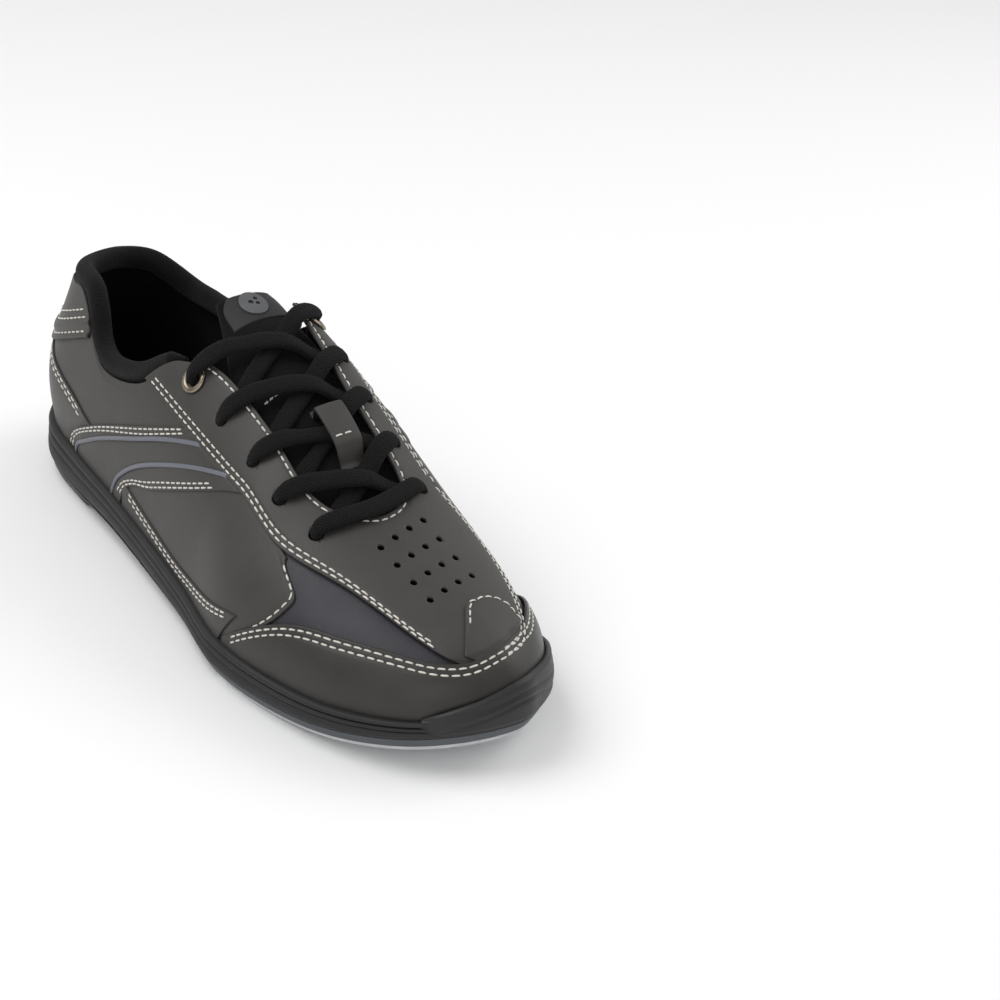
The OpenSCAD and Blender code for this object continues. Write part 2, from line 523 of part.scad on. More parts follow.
TONGUE = [-5 - tongue_t, -5];
TONGUE_OUTER = [[-43, -8], [-30, -13], [0, -24], [30, -26], [55, -22], [64, -12]];
TONGUE_INNER = [[-43, 21], [-30, 21], [0, 26], [30, 25], [55, 21], [64, 12]];
module tongue() color(fabric) translate(shift) top_panel(TONGUE_OUTER, TONGUE_INNER, 18, 7, TONGUE);
BADGE = [-4.7, -3.9];
module tongue_badge() color("#2c2b2b") translate(shift)
    top_panel([[-42, -4], [-36, -8], [-27, -9]], [[-42, 17], [-36, 19], [-27, 19]], 6, 6, BADGE);
// Leather loop sewn to the tongue at both ends, standing up over the crossing laces
KEEPER = [[21.2, -4.4], [23.5, -4.4], [25, 0], [27, 2.6], [34, 3.2], [41, 2.6], [42.6, 0],
    [44, -4.4], [46, -4.4]];
keeper_half = 5.5;
module lace_keeper() color(leather) translate(shift) {
    rows = [for (k = KEEPER) [for (j = [0 : 4]) [k[0], 2 + keeper_half * (j - 2) / 2, k[1]]]];
    sheet([for (r = rows) [for (q = r) above(q[0], q[1], q[2] + leather_t)]],
        [for (r = rows) [for (q = r) above(q[0], q[1], q[2])]]);
}

COLLAR_ROUTE = [[-4.6, 49], [-4.4, 43], [-4.1, 33], [-3.75, 26], [-3.4, 23], [-3.1, 22],
    [-2.8, 21.6], [-2.5, 21.8], [-2, 23], [-1, 30], [0, 32], [1, 33], [2, 36], [2.5, 37],
    [2.8, 33.5], [3.1, 27], [3.4, 25], [3.75, 28], [4.1, 34], [4.4, 43], [4.6, 49]];
collar_steps = 44;
module collar_padding() color(fabric) translate(shift) {
    route = [for (i = [0 : collar_steps])
        let (q = row_at(COLLAR_ROUTE, i / collar_steps * (len(COLLAR_ROUTE) - 1)))
        on_last(q[0], q[1] + 3.2, -collar_r - 0.4)];
    loft([for (i = [0 : collar_steps]) ring(route, i, 2 * collar_r, 2 * collar_r, 10, [0, 0, 1])]);
}

module grommets() color("#b9a98f") translate(shift)
    for (e = [EYELETS_OUTER[0], EYELETS_INNER[0]]) eyelet_drill(e[0], e[1])
        rotate_extrude($fn = 48) polygon([[2.85, -1.4], [grommet_d / 2 - 0.8, -1.4],
            [grommet_d / 2 - 0.8, -1], [3.1, -1], [3.1, 0.8], [grommet_d / 2, 0.8],
            [grommet_d / 2 - 0.3, 1.3], [2.85, 1.4]]);

// One lace lies across the lowest pair of eyelets.  Each half climbs in a criss-cross: it dives
// through an eyelet, turns back under the flap, comes out at the throat edge and crosses to the
// next higher eyelet of the other flap.  s is -1 on the outer flap and 1 on the inner one; k
// counts the eyelets from the top.  A point of the route is [x, y, d, width].
function eyelet(s, k) = s < 0 ? EYELETS_OUTER[k] : EYELETS_INNER[k];
CROSSING_T = [0, 0.14, 0.32, 0.5, 0.66, 0.83, 1];
CROSS_OVER = [-2.8, -2.4, 1.2, 1.9, 1.9, 2.6, 2.4];
CROSS_UNDER = [-2.8, -2.8, -2.8, -2.5, -1.6, 2.1, 2.4];
KEEPER_OVER = [-2.8, -2.5, -0.6, 0.3, 0.5, 2.3, 2.4];
KEEPER_UNDER = [-2.8, -3, -3.1, -3.1, -2.3, 1.9, 2.4];
function crossing(s, k) =
    let (a = eyelet(s, k), b = eyelet(-s, k - 1),
        start = [a[0] - 1.5, a[1] - s * 5], end = [b[0] + 1.5, b[1] + s * 4],
        high = k == 1 ? 1.1 : 0,
        D = k == 3 ? (s > 0 ? KEEPER_OVER : KEEPER_UNDER) : s > 0 ? CROSS_OVER : CROSS_UNDER)
    [for (i = [0 : 6])
        let (q = mix(start, end, CROSSING_T[i]), w = k == 3 && i > 1 && i < 5 ? 0.72 : 0.9)
        [q[0], q[1], D[i] + (i > 4 ? high : 0), lace_w * w]];
function dive(s, k) =
    let (e = eyelet(s, k)) [[e[0], e[1], k == 0 ? 2.7 : 0.9, k == 0 ? 3 : 3.8],
        [e[0], e[1], k == 0 ? -2.7 : -0.9, k == 0 ? 3 : 3.8]];
function climb(s) = concat(dive(s, 4), crossing(s, 4), dive(-s, 3), crossing(-s, 3),
    dive(s, 2), crossing(s, 2), dive(-s, 1), crossing(-s, 1), dive(s, 0));
function reverse(L) = [for (i = [len(L) - 1 : -1 : 0]) L[i]];
BAR = [[64, -21, 2.4, 7], [66, -12, 2.8, 7.4], [67, -2, 2.9, 7.6], [65, 9, 2.8, 7.4],
    [62, 17.5, 2.4, 7]];
// Tail of each half, down the inside of the wall: [p, phi, d] from the top eyelet
TAIL = [[4.98, 46, -4.8], [5.0, 42, -7.2], [5.02, 35, -7.8], [5.05, 27, -7.8]];
function tail(s) = [for (t = TAIL) [s < 0 ? t[0] : 24 - t[0], t[1], t[2]]];
function tube_ring(at, before, after, across, w, t) =
    let (f = (after - before) / norm(after - before), raw = across - (across * f) * f,
        side = raw / norm(raw), up = cross(side, f))
    [for (k = [0 : 7]) at + side * w / 2 * cos(45 * k + 22.5) + up * t / 2 * sin(45 * k + 22.5)];
function tail_points(s) = [for (t = tail(s)) [on_last(t[0], t[1], t[2]),
    -s * (on_last(t[0] + 0.05, t[1], t[2]) - on_last(t[0], t[1], t[2])), 3.6, 3]];
module lace() color(fabric) translate(shift) {
    plan = concat(reverse(climb(-1)), BAR, climb(1));
    body = [for (q = plan) let (a = above(q[0], q[1], q[2])) [a,
        above(q[0] + 1, q[1], q[2]) - a, q[3], lace_t]];
    all = concat(reverse(tail_points(-1)), body, tail_points(1));
    n = len(all);
    loft([for (i = [0 : n - 1]) tube_ring(all[i][0], all[max(i - 1, 0)][0],
        all[min(i + 1, n - 1)][0], all[i][1], all[i][2], all[i][3])]);
}
aglet_d = 3.4;
aglet_l = 12;
module aglets() color(fabric) translate(shift) for (s = [-1, 1]) {
    T = tail(s);
    a = on_last(T[2][0], T[2][1], T[2][2]);
    b = on_last(T[3][0], T[3][1], T[3][2]);
    f = (b - a) / norm(b - a);
    translate(b + 0.1 * f) rotate([0, acos(f[2]), atan2(f[1], f[0])])
        cylinder(d = aglet_d, h = aglet_l);
}

slide_pad();
flex_grooves();
pad_edge_band();
forefoot_rubber();
heel_arch_tread();
centre_stripe();
arch_chevrons();
heel_crescent();
midsole();
toe_bumper();
shank();
cork_filler();
insole_board();
footbed();
quarter_lining();
vamp_lining();
toe_puff();
heel_stiffener();
outer_quarter();
inner_quarter();
outer_side_panel();
inner_side_panel();
outer_underlay();
inner_underlay();
outer_side_band();
inner_side_band();
outer_piping();
inner_piping();
outer_foxing();
inner_foxing();
heel_counter();
back_tab();
vamp();
inner_eyestay();
toe_cap();
toe_patch();
tongue();
tongue_badge();
lace_keeper();
collar_padding();
grommets();
lace();
aglets();
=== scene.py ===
"""Bowling shoe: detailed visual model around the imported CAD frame."""
import bpy
import math
import numpy as np
from mathutils import Matrix, Vector


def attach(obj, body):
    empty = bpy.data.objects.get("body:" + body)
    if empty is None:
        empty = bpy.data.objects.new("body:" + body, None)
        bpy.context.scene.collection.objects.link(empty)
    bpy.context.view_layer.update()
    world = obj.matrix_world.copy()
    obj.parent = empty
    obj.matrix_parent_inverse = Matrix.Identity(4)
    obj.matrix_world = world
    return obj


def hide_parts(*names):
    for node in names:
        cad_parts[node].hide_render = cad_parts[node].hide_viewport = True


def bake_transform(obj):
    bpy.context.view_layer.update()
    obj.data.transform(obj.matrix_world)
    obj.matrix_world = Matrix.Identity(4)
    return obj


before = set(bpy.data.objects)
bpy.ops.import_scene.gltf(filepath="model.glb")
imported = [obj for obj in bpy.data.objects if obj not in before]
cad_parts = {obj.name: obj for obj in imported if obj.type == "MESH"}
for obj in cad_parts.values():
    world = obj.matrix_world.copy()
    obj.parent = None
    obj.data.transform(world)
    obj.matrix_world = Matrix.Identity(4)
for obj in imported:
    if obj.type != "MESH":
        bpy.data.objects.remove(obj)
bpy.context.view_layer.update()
MM = 0.001
SHIFT = np.array([0.36, 3.46, 0.0])       # the CAD moves the shoe by this much, in mm
rng = np.random.default_rng(7)


# ---- camera ------------------------------------------------------------------------------
CAMERA_ANGLES = (51.86, 28.62, 5.108)     # azimuth, elevation, roll in degrees
CAMERA_TARGET = (56.81, 62.40, 46.93)     # mm, before SHIFT
CAMERA_DISTANCE, LENS = 896.9, 84.37      # mm


def add_camera():
    azimuth, elevation, roll = (math.radians(a) for a in CAMERA_ANGLES)
    back = Vector((math.sin(azimuth) * math.cos(elevation),
                   -math.cos(azimuth) * math.cos(elevation), math.sin(elevation)))
    target = Vector(CAMERA_TARGET) + Vector(SHIFT)
    forward = -back
    right = forward.cross(Vector((0, 0, 1))).normalized()
    up = right.cross(forward)
    right_r = right * math.cos(roll) + up * math.sin(roll)
    up_r = up * math.cos(roll) - right * math.sin(roll)
    data = bpy.data.cameras.new("camera")
    data.lens, data.sensor_width = LENS, 36
    data.clip_start, data.clip_end = 0.05, 50
    cam = bpy.data.objects.new("camera", data)
    bpy.context.scene.collection.objects.link(cam)
    m = Matrix((right_r, up_r, back)).transposed().to_4x4()
    m.translation = (target + back * CAMERA_DISTANCE) * MM
    cam.matrix_world = m
    bpy.context.scene.camera = cam


add_camera()


# ---- curves and the last surface, as in part.scad (mm) -------------------------------------
def spline(a, b, c, d, f):
    return 0.5 * (2 * b + (c - a) * f + (2 * a - 5 * b + 4 * c - d) * f ** 2
                  + (3 * b - a - 3 * c + d) * f ** 3)


def loop_at(table, t):
    t = np.asarray(t, float)
    n = len(table)
    i = np.floor(t).astype(int)
    f = t - i
    if table.ndim == 2:
        f = f[..., None]
    return spline(table[(i - 1) % n], table[i % n], table[(i + 1) % n], table[(i + 2) % n], f)


def row_at(table, t):
    table = np.asarray(table, float)
    n = len(table) - 1
    s = np.clip(np.asarray(t, float), 0, n)
    i = np.minimum(np.floor(s).astype(int), n - 1)
    f = s - i
    full = np.concatenate([[2 * table[0] - table[1]], table, [2 * table[n] - table[n - 1]]])
    if table.ndim == 2:
        f = f[..., None]
    return spline(full[i], full[i + 1], full[i + 2], full[i + 3], f)


FEATHER = np.array([
    (-146, 0), (-139, -22.5), (-120, -36.5), (-90, -41), (-55, -43), (-20, -46), (15, -50),
    (48, -55.5), (80, -52), (108, -44), (130, -29.5), (142, -12), (146, 6), (142, 17),
    (130, 31.5), (108, 44), (80, 48.5), (48, 46.5), (15, 41.5), (-20, 38), (-55, 36.5),
    (-90, 36), (-120, 32), (-139, 20)], float)
RIDGE = np.array([(-108, 0), (-106, 0), (-100, 0), (-84, 1), (-55, 3), (-20, 6), (15, 7),
                  (45, 7), (72, 6.5), (92, 6), (106, 6), (112, 6), (114, 6)], float)
FEATHER_Z = np.array([24, 24, 24, 23, 21, 19, 17, 16, 16, 17.5, 20, 22.5, 23.5])
RIDGE_Z = np.array([126, 125.5, 122.5, 114, 106, 96.5, 83.5, 66.5, 54.5, 46.5, 42])
FULLNESS = np.array([2.4, 2.4, 2.35, 2.3, 2.15, 2, 2, 2.1, 2.2, 2.3, 2.4, 2.45, 2.45, 2.45,
                     2.4, 2.3, 2.35, 2.5, 2.75, 3, 2.9, 2.6, 2.45, 2.4])
HEEL_SWELL = 4.0


def station(p):
    q = np.mod(p, 24)
    return np.where(q <= 12, q, 24 - q)


def smooth(t):
    s = np.clip(t, 0, 1)
    return s * s * (3 - 2 * s)


def feather_at(p):
    return loop_at(FEATHER, p)


def rim_at(p, d):
    t = feather_at(np.asarray(p) + 0.05) - feather_at(np.asarray(p) - 0.05)
    out = np.stack([t[..., 1], -t[..., 0]], -1)
    out /= np.linalg.norm(out, axis=-1, keepdims=True)
    return feather_at(p) + np.asarray(d)[..., None] * out


def ridge_at(p):
    return row_at(RIDGE, station(p))


def feather_z(p):
    return row_at(FEATHER_Z, station(p))


def ridge_z(x):
    return row_at(RIDGE_Z, (x + 150) / 30)


def last(p, phi, d):
    """Point d outside the last surface, at p round the feather line and phi up the wall."""
    p, phi, d = np.broadcast_arrays(np.asarray(p, float), np.asarray(phi, float),
                                    np.asarray(d, float))
    n = loop_at(FULLNESS, p)
    a = np.radians(np.clip(phi, 0, 90))
    c = np.maximum(np.cos(a), 0) ** (2 / n)
    s = np.maximum(np.sin(a), 0) ** (2 / n)
    swell = HEEL_SWELL * smooth(1 - station(p) / 4) * np.sin(np.pi * np.minimum(s / 0.42, 1.5))
    ridge = ridge_at(p)
    xy = ridge + (rim_at(p, d + swell) - ridge) * c[..., None]
    low = feather_z(p)
    high = ridge_z(xy[..., 0]) + d
    # below the feather line the wall tucks under a little
    z = low + (high - low) * s + np.minimum(np.asarray(phi), 0) * 0.25
    return np.stack([xy[..., 0], xy[..., 1], z], -1)


def normal(p, phi):
    e = 0.02
    a = last(p + e, phi, 0) - last(p - e, phi, 0)
    b = last(p, np.clip(phi + 0.5, 0, 89.9), 0) - last(p, np.clip(phi - 0.5, 0, 89.9), 0)
    n = np.cross(a, b)
    n /= np.maximum(np.linalg.norm(n, axis=-1, keepdims=True), 1e-9)
    out = last(p, phi, 1.0) - last(p, phi, 0.0)
    return n * np.sign(np.sum(n * out, -1, keepdims=True))


def chart(x, y):
    """(p, phi) of the surface above a plan point."""
    x, y = np.broadcast_arrays(np.asarray(x, float), np.asarray(y, float))

    def find(lo, hi):
        lo, hi = np.full(x.shape, float(lo)), np.full(x.shape, float(hi))
        for _ in range(22):
            mid = (lo + hi) / 2
            r = ridge_at(mid)
            b = feather_at(mid) - r
            ahead = b[..., 0] * (y - r[..., 1]) - b[..., 1] * (x - r[..., 0]) > 0
            lo, hi = np.where(ahead, mid, lo), np.where(ahead, hi, mid)
        return (lo + hi) / 2

    left, right = find(0, 12), find(12, 24)
    p = np.where(y < ridge_at(left)[..., 1], left, right)
    r = ridge_at(p)
    reach = np.hypot(x - r[..., 0], y - r[..., 1]) / np.linalg.norm(feather_at(p) - r, axis=-1)
    phi = np.degrees(np.arccos(np.clip(reach, 0, 1) ** (loop_at(FULLNESS, p) / 2)))
    return p, phi


def above(x, y, d):
    p, phi = chart(x, y)
    return last(p, phi, d)


def smooth_curve(points, n):
    return row_at(points, np.linspace(0, len(points) - 1, n))


def resample(points, n):
    s = np.concatenate([[0], np.cumsum(np.linalg.norm(np.diff(points, axis=0), axis=1))])
    t = np.linspace(0, s[-1], n)
    return np.stack([np.interp(t, s, points[:, k]) for k in range(points.shape[1])], 1)


# ---- materials -----------------------------------------------------------------------------
def srgb(code):
    c = [int(code[i:i + 2], 16) / 255 for i in (1, 3, 5)]
    return [x / 12.92 if x <= 0.04045 else ((x + 0.055) / 1.055) ** 2.4 for x in c] + [1.0]


class Nodes:
    """Small helper that adds nodes to a new material and links them."""

    def __init__(self, name):
        self.m = bpy.data.materials.new(name)
        self.m.use_nodes = True
        self.t = self.m.node_tree
        self.shader = self.t.nodes["Principled BSDF"]
        self.coord = self.t.nodes.new("ShaderNodeTexCoord")

    def add(self, kind, **values):
        node = self.t.nodes.new(kind)
        for k, v in values.items():
            if k in node.inputs:
                self.put(node.inputs[k], v)
            else:
                setattr(node, k, v)
        return node

    def put(self, socket, v):
        if hasattr(v, "links"):
            self.t.links.new(v, socket)
        else:
            socket.default_value = v

    def noise(self, scale, detail=4, rough=0.55, coord="Object"):
        n = self.add("ShaderNodeTexNoise", Scale=scale, Detail=detail, Roughness=rough)
        self.put(n.inputs["Vector"], self.coord.outputs[coord])
        return n.outputs["Fac"]

    def cells(self, scale, coord="Object", feature="F1"):
        n = self.add("ShaderNodeTexVoronoi", feature=feature, Scale=scale)
        self.put(n.inputs["Vector"], self.coord.outputs[coord])
        return n.outputs["Distance"]

    def math(self, op, a, b=0.5, clamp=False):
        n = self.t.nodes.new("ShaderNodeMath")
        n.operation, n.use_clamp = op, clamp
        self.put(n.inputs[0], a)
        self.put(n.inputs[1], b)
        return n.outputs[0]

    def ramp(self, fac, lo, hi, a=0.3, b=0.7):
        """Colour between lo and hi as fac goes from a to b."""
        f = self.add("ShaderNodeMapRange", **{"Value": fac, "From Min": a, "From Max": b})
        mix = self.t.nodes.new("ShaderNodeMix")
        mix.data_type = "RGBA"
        self.put(mix.inputs[0], f.outputs[0])
        self.put(mix.inputs[6], lo)
        self.put(mix.inputs[7], hi)
        return mix.outputs[2]

    def value(self, fac, lo, hi, a=0.3, b=0.7):
        f = self.add("ShaderNodeMapRange", **{
            "Value": fac, "From Min": a, "From Max": b, "To Min": lo, "To Max": hi})
        return f.outputs[0]

    def bump(self, height, distance, strength=1.0, under=None):
        n = self.add("ShaderNodeBump", Height=height, Distance=distance, Strength=strength)
        if under is not None:
            self.put(n.inputs["Normal"], under)
        return n.outputs["Normal"]

    def attribute(self, name):
        return self.add("ShaderNodeAttribute", attribute_name=name).outputs["Fac"]


def shade(code, k):
    c = srgb(code)
    return [min(1, x * k) for x in c[:3]] + [1.0]


def leather(name, code, grain=1.0, rough=0.5, painted_edge_shade=0.45):
    """Fine-grained coated leather: pebbles of about 0.6 mm, soft blotches, and painted shade that
    darkens it along the panel edges.
    """
    n = Nodes(name)
    blotch = n.noise(38, 5, 0.6)
    colour = n.ramp(blotch, shade(code, 0.82), shade(code, 1.16))
    pores = n.cells(1900)
    colour = n.ramp(n.value(pores, 1, 0, 0.1, 0.55), colour, shade(code, 0.72), 0.75, 1.6)
    # painted shade: the edge attribute darkens the leather along each panel's border, where
    # overlays meet, and over its back face
    edge = n.attribute("edge")
    colour = n.ramp(edge, colour, shade(code, painted_edge_shade), 0.15, 1.0)
    fine = n.noise(4200, 3, 0.6)
    normal_ = n.bump(n.cells(1500), 0.00012, 0.42 * grain)
    normal_ = n.bump(fine, 0.00005, 0.35 * grain, normal_)
    normal_ = n.bump(n.noise(120, 3, 0.5), 0.0006, 0.14, normal_)
    wear = n.value(blotch, rough - 0.05, rough + 0.1)
    n.put(n.shader.inputs["Base Color"], colour)
    n.put(n.shader.inputs["Roughness"], wear)
    n.put(n.shader.inputs["Normal"], normal_)
    n.shader.inputs["Specular IOR Level"].default_value = 0.42
    n.shader.inputs["Sheen Weight"].default_value = 0.06
    n.shader.inputs["Sheen Roughness"].default_value = 0.5
    return n.m


def knit(name, code, scale=900.0, rough=0.92, sheen=0.25, uv_ribs=None):
    """Knitted or meshed fabric: small open cells with a soft nap, or ribs along the UVs."""
    n = Nodes(name)
    colour = n.ramp(n.noise(60, 4), shade(code, 0.7), shade(code, 1.3))
    if uv_ribs:
        w = n.add("ShaderNodeTexWave", wave_type="BANDS", bands_direction="X",
                  Scale=uv_ribs, Distortion=0.6, Detail=2.0)
        w.inputs["Detail Scale"].default_value = 2.0
        n.put(w.inputs["Vector"], n.coord.outputs["UV"])
        rib = w.outputs["Fac"]
        colour = n.ramp(rib, shade(code, 0.55), colour, 0.0, 0.6)
        normal_ = n.bump(rib, 0.0004, 0.7)
        normal_ = n.bump(n.noise(3000, 3), 0.00012, 0.6, normal_)
    else:
        cell = n.cells(scale)
        colour = n.ramp(cell, shade(code, 0.45), colour, 0.1, 0.42)
        normal_ = n.bump(n.value(cell, 0, 1, 0.0, 0.5), 0.0003, 0.7)
        normal_ = n.bump(n.noise(3600, 3), 0.0001, 0.5, normal_)
    n.put(n.shader.inputs["Base Color"], colour)
    n.put(n.shader.inputs["Normal"], normal_)
    n.shader.inputs["Roughness"].default_value = rough
    n.shader.inputs["Specular IOR Level"].default_value = 0.12
    n.shader.inputs["Sheen Weight"].default_value = sheen
    n.shader.inputs["Sheen Roughness"].default_value = 0.45
    return n.m


def braid(name, code):
    """Braided lace: two families of diagonal yarns over the UVs (u along, v across, in mm)."""
    n = Nodes(name)
    waves = []
    for turn in (1, -1):
        mapping = n.add("ShaderNodeMapping")
        n.put(mapping.inputs["Vector"], n.coord.outputs["UV"])
        mapping.inputs["Rotation"].default_value = (0, 0, turn * math.radians(38))
        w = n.add("ShaderNodeTexWave", wave_type="BANDS", bands_direction="X", Scale=0.36,
                  Distortion=0.25)
        n.put(w.inputs["Vector"], mapping.outputs[0])
        waves.append(w.outputs["Fac"])
    yarn = n.math("MAXIMUM", waves[0], waves[1])
    colour = n.ramp(yarn, shade(code, 0.5), shade(code, 1.45), 0.25, 0.95)
    colour = n.ramp(n.noise(500, 3), colour, shade(code, 0.8), 0.5, 0.9)
    normal_ = n.bump(yarn, 0.00035, 0.9)
    normal_ = n.bump(n.noise(5200, 2), 0.0001, 0.6, normal_)
    n.put(n.shader.inputs["Base Color"], colour)
    n.put(n.shader.inputs["Normal"], normal_)
    n.shader.inputs["Roughness"].default_value = 0.88
    n.shader.inputs["Specular IOR Level"].default_value = 0.14
    n.shader.inputs["Sheen Weight"].default_value = 0.03
    n.shader.inputs["Sheen Roughness"].default_value = 0.4
    return n.m


def rubber(name, code, rough=0.6, bump=0.3, spread=0.14):
    n = Nodes(name)
    cloud = n.noise(45, 5, 0.6)
    colour = n.ramp(cloud, shade(code, 1 - spread), shade(code, 1 + spread))
    dust = n.attribute("edge")
    colour = n.ramp(dust, colour, shade(code, 1.5), 0.1, 1.4)
    normal_ = n.bump(n.noise(2600, 4, 0.6), 0.00012, bump)
    normal_ = n.bump(n.noise(240, 3), 0.0004, 0.1, normal_)
    n.put(n.shader.inputs["Base Color"], colour)
    n.put(n.shader.inputs["Roughness"], n.value(cloud, rough - 0.06, rough + 0.08))
    n.put(n.shader.inputs["Normal"], normal_)
    return n.m


def thread_material(name, code):
    n = Nodes(name)
    colour = n.ramp(n.noise(800, 3), shade(code, 0.75), shade(code, 1.08))
    w = n.add("ShaderNodeTexWave", wave_type="BANDS", bands_direction="DIAGONAL", Scale=1.6)
    n.put(w.inputs["Vector"], n.coord.outputs["UV"])
    n.put(n.shader.inputs["Base Color"], colour)
    n.put(n.shader.inputs["Normal"], n.bump(w.outputs["Fac"], 0.00008, 0.5))
    n.shader.inputs["Roughness"].default_value = 0.65
    n.shader.inputs["Sheen Weight"].default_value = 0.06
    return n.m


def felt(name, code):
    n = Nodes(name)
    colour = n.ramp(n.noise(160, 6, 0.7), shade(code, 0.84), shade(code, 1.1))
    colour = n.ramp(n.noise(2500, 2), colour, shade(code, 0.8), 0.5, 0.85)
    n.put(n.shader.inputs["Base Color"], colour)
    n.put(n.shader.inputs["Normal"], n.bump(n.noise(3000, 4, 0.7), 0.0002, 0.6))
    n.shader.inputs["Roughness"].default_value = 0.95
    n.shader.inputs["Sheen Weight"].default_value = 0.06
    return n.m


def metal(name, code):
    n = Nodes(name)
    tone = n.noise(300, 4)
    n.put(n.shader.inputs["Base Color"], n.ramp(tone, shade(code, 0.55), shade(code, 1.15)))
    n.put(n.shader.inputs["Roughness"], n.value(tone, 0.24, 0.42))
    n.put(n.shader.inputs["Normal"], n.bump(n.noise(2500, 2), 0.00004, 0.4))
    n.shader.inputs["Metallic"].default_value = 1.0
    return n.m


def granular(name, code, cell=260.0, rough=0.85):
    n = Nodes(name)
    colour = n.ramp(n.cells(cell), shade(code, 0.6), shade(code, 1.25), 0.0, 0.6)
    n.put(n.shader.inputs["Base Color"], colour)
    n.put(n.shader.inputs["Normal"], n.bump(n.cells(cell), 0.0003, 0.5))
    n.shader.inputs["Roughness"].default_value = rough
    return n.m


def gloss(name, code, rough=0.3):
    n = Nodes(name)
    tone = n.noise(200, 3)
    n.put(n.shader.inputs["Base Color"], n.ramp(tone, shade(code, 0.88), shade(code, 1.1)))
    n.put(n.shader.inputs["Roughness"], n.value(tone, rough - 0.05, rough + 0.1))
    n.put(n.shader.inputs["Normal"], n.bump(n.noise(1500, 2), 0.00005, 0.3))
    return n.m


MAT = {
    "leather": leather("charcoal_leather", "#353330"),
    "cap": leather("toe_leather", "#2c2a28", 0.8, 0.44),
    "blue": leather("blue_black_leather", "#28282f", 0.8, 0.5),
    "badge": leather("badge_leather", "#171717", 0.5, 0.6),
    "mesh": knit("lining_mesh", "#0c0c0c", sheen=0.03),
    "tongue": knit("tongue_fabric", "#111111", 1500.0, sheen=0.05),
    "collar": knit("collar_knit", "#121212", uv_ribs=0.42, sheen=0.06),
    "footbed": knit("footbed_fabric", "#161619", 700.0, sheen=0.06),
    "lace": braid("lace_braid", "#131313"),
    "aglet": gloss("aglet_gloss", "#141414", 0.25),
    "thread": thread_material("off_white_thread", "#d8d5cc"),
    "piping": gloss("grey_piping", "#62646d", 0.4),
    "grey_mark": gloss("grey_print", "#505154", 0.5),
    "midsole": rubber("midsole_rubber", "#161616", 0.6, 0.4),
    "bumper": rubber("bumper_rubber", "#151514", 0.5, 0.25),
    "tread": rubber("tread_rubber", "#151419", 0.55),
    "tread_grey": rubber("grey_rubber", "#4b4f53", 0.6),
    "groove": rubber("groove_plastic", "#74777f", 0.5, 0.15),
    "band": rubber("pad_band_rubber", "#4a4c50", 0.55),
    "pad": felt("slide_felt", "#c0c2c4"),
    "nickel": metal("antique_nickel", "#9b8f7e"),
    "steel": metal("spring_steel", "#8a8d90"),
    "cork": granular("cork_grain", "#9b7a4d"),
    "board": granular("fibreboard", "#b9a27c", 900.0),
    "sheet": granular("stiffener_sheet", "#6d6a62", 1400.0, 0.7),
}


# ---- mesh building -------------------------------------------------------------------------
def mesh_piece(name, verts, faces, material, uv=None, edge=None, flat=False):
    """Mesh object in metres from points in mm, with optional UVs (mm) and edge attribute."""
    me = bpy.data.meshes.new(name)
    me.from_pydata([tuple(v) for v in (np.asarray(verts) + SHIFT) * MM], [], faces)
    me.validate()
    me.update()
    me.polygons.foreach_set("use_smooth", [not flat] * len(me.polygons))
    if uv is not None:
        layer = me.uv_layers.new(name="UVMap")
        index = np.zeros(len(me.loops), int)
        me.loops.foreach_get("vertex_index", index)
        layer.data.foreach_set("uv", np.asarray(uv, float)[index].ravel())
    if edge is not None:
        a = me.attributes.new("edge", "FLOAT", "POINT")
        a.data.foreach_set("value", np.asarray(edge, np.float32))
    me.materials.append(MAT[material])
    o = bpy.data.objects.new(name, me)
    bpy.context.scene.collection.objects.link(o)
    return o


def grid_faces(rows, cols, start=0, flip=False, wrap_cols=False, wrap_rows=False):
    faces = []
    for i in range(rows if wrap_rows else rows - 1):
        for j in range(cols if wrap_cols else cols - 1):
            i2, j2 = (i + 1) % rows, (j + 1) % cols
            q = (start + i * cols + j, start + i2 * cols + j, start + i2 * cols + j2,
                 start + i * cols + j2)
            faces.append(q[::-1] if flip else q)
    return faces


def closed_sheet(top, bottom):
    """Vertices and faces of a closed sheet between two equal grids, facing outwards."""
    rows, cols = top.shape[:2]
    n = rows * cols
    i, j = rows // 3, cols // 3
    facing = np.cross(top[i + 1, j] - top[i, j], top[i, j + 1] - top[i, j])
    flip = np.dot(facing, top[i, j] - bottom[i, j]) < 0
    faces = grid_faces(rows, cols, 0, flip) + grid_faces(rows, cols, n, not flip)
    ring = ([(i, 0) for i in range(rows)] + [(rows - 1, j) for j in range(1, cols)]
            + [(i, cols - 1) for i in range(rows - 2, -1, -1)]
            + [(0, j) for j in range(cols - 2, 0, -1)])
    ids = [a * cols + b for a, b in ring]
    for k in range(len(ids)):
        a, b = ids[k], ids[(k + 1) % len(ids)]
        q = (a, n + a, n + b, b)
        faces.append(q[::-1] if flip else q)
    return np.concatenate([top.reshape(-1, 3), bottom.reshape(-1, 3)]), faces


def spaced(n, length, fine=(0.12, 0.3, 0.6, 1.1)):
    """n even steps from 0 to 1, with extra steps that many mm from each end."""
    extra = [f / length for f in fine]
    t = np.concatenate([np.linspace(0, 1, n), extra, [1 - e for e in extra]])
    return np.unique(np.round(t, 6))


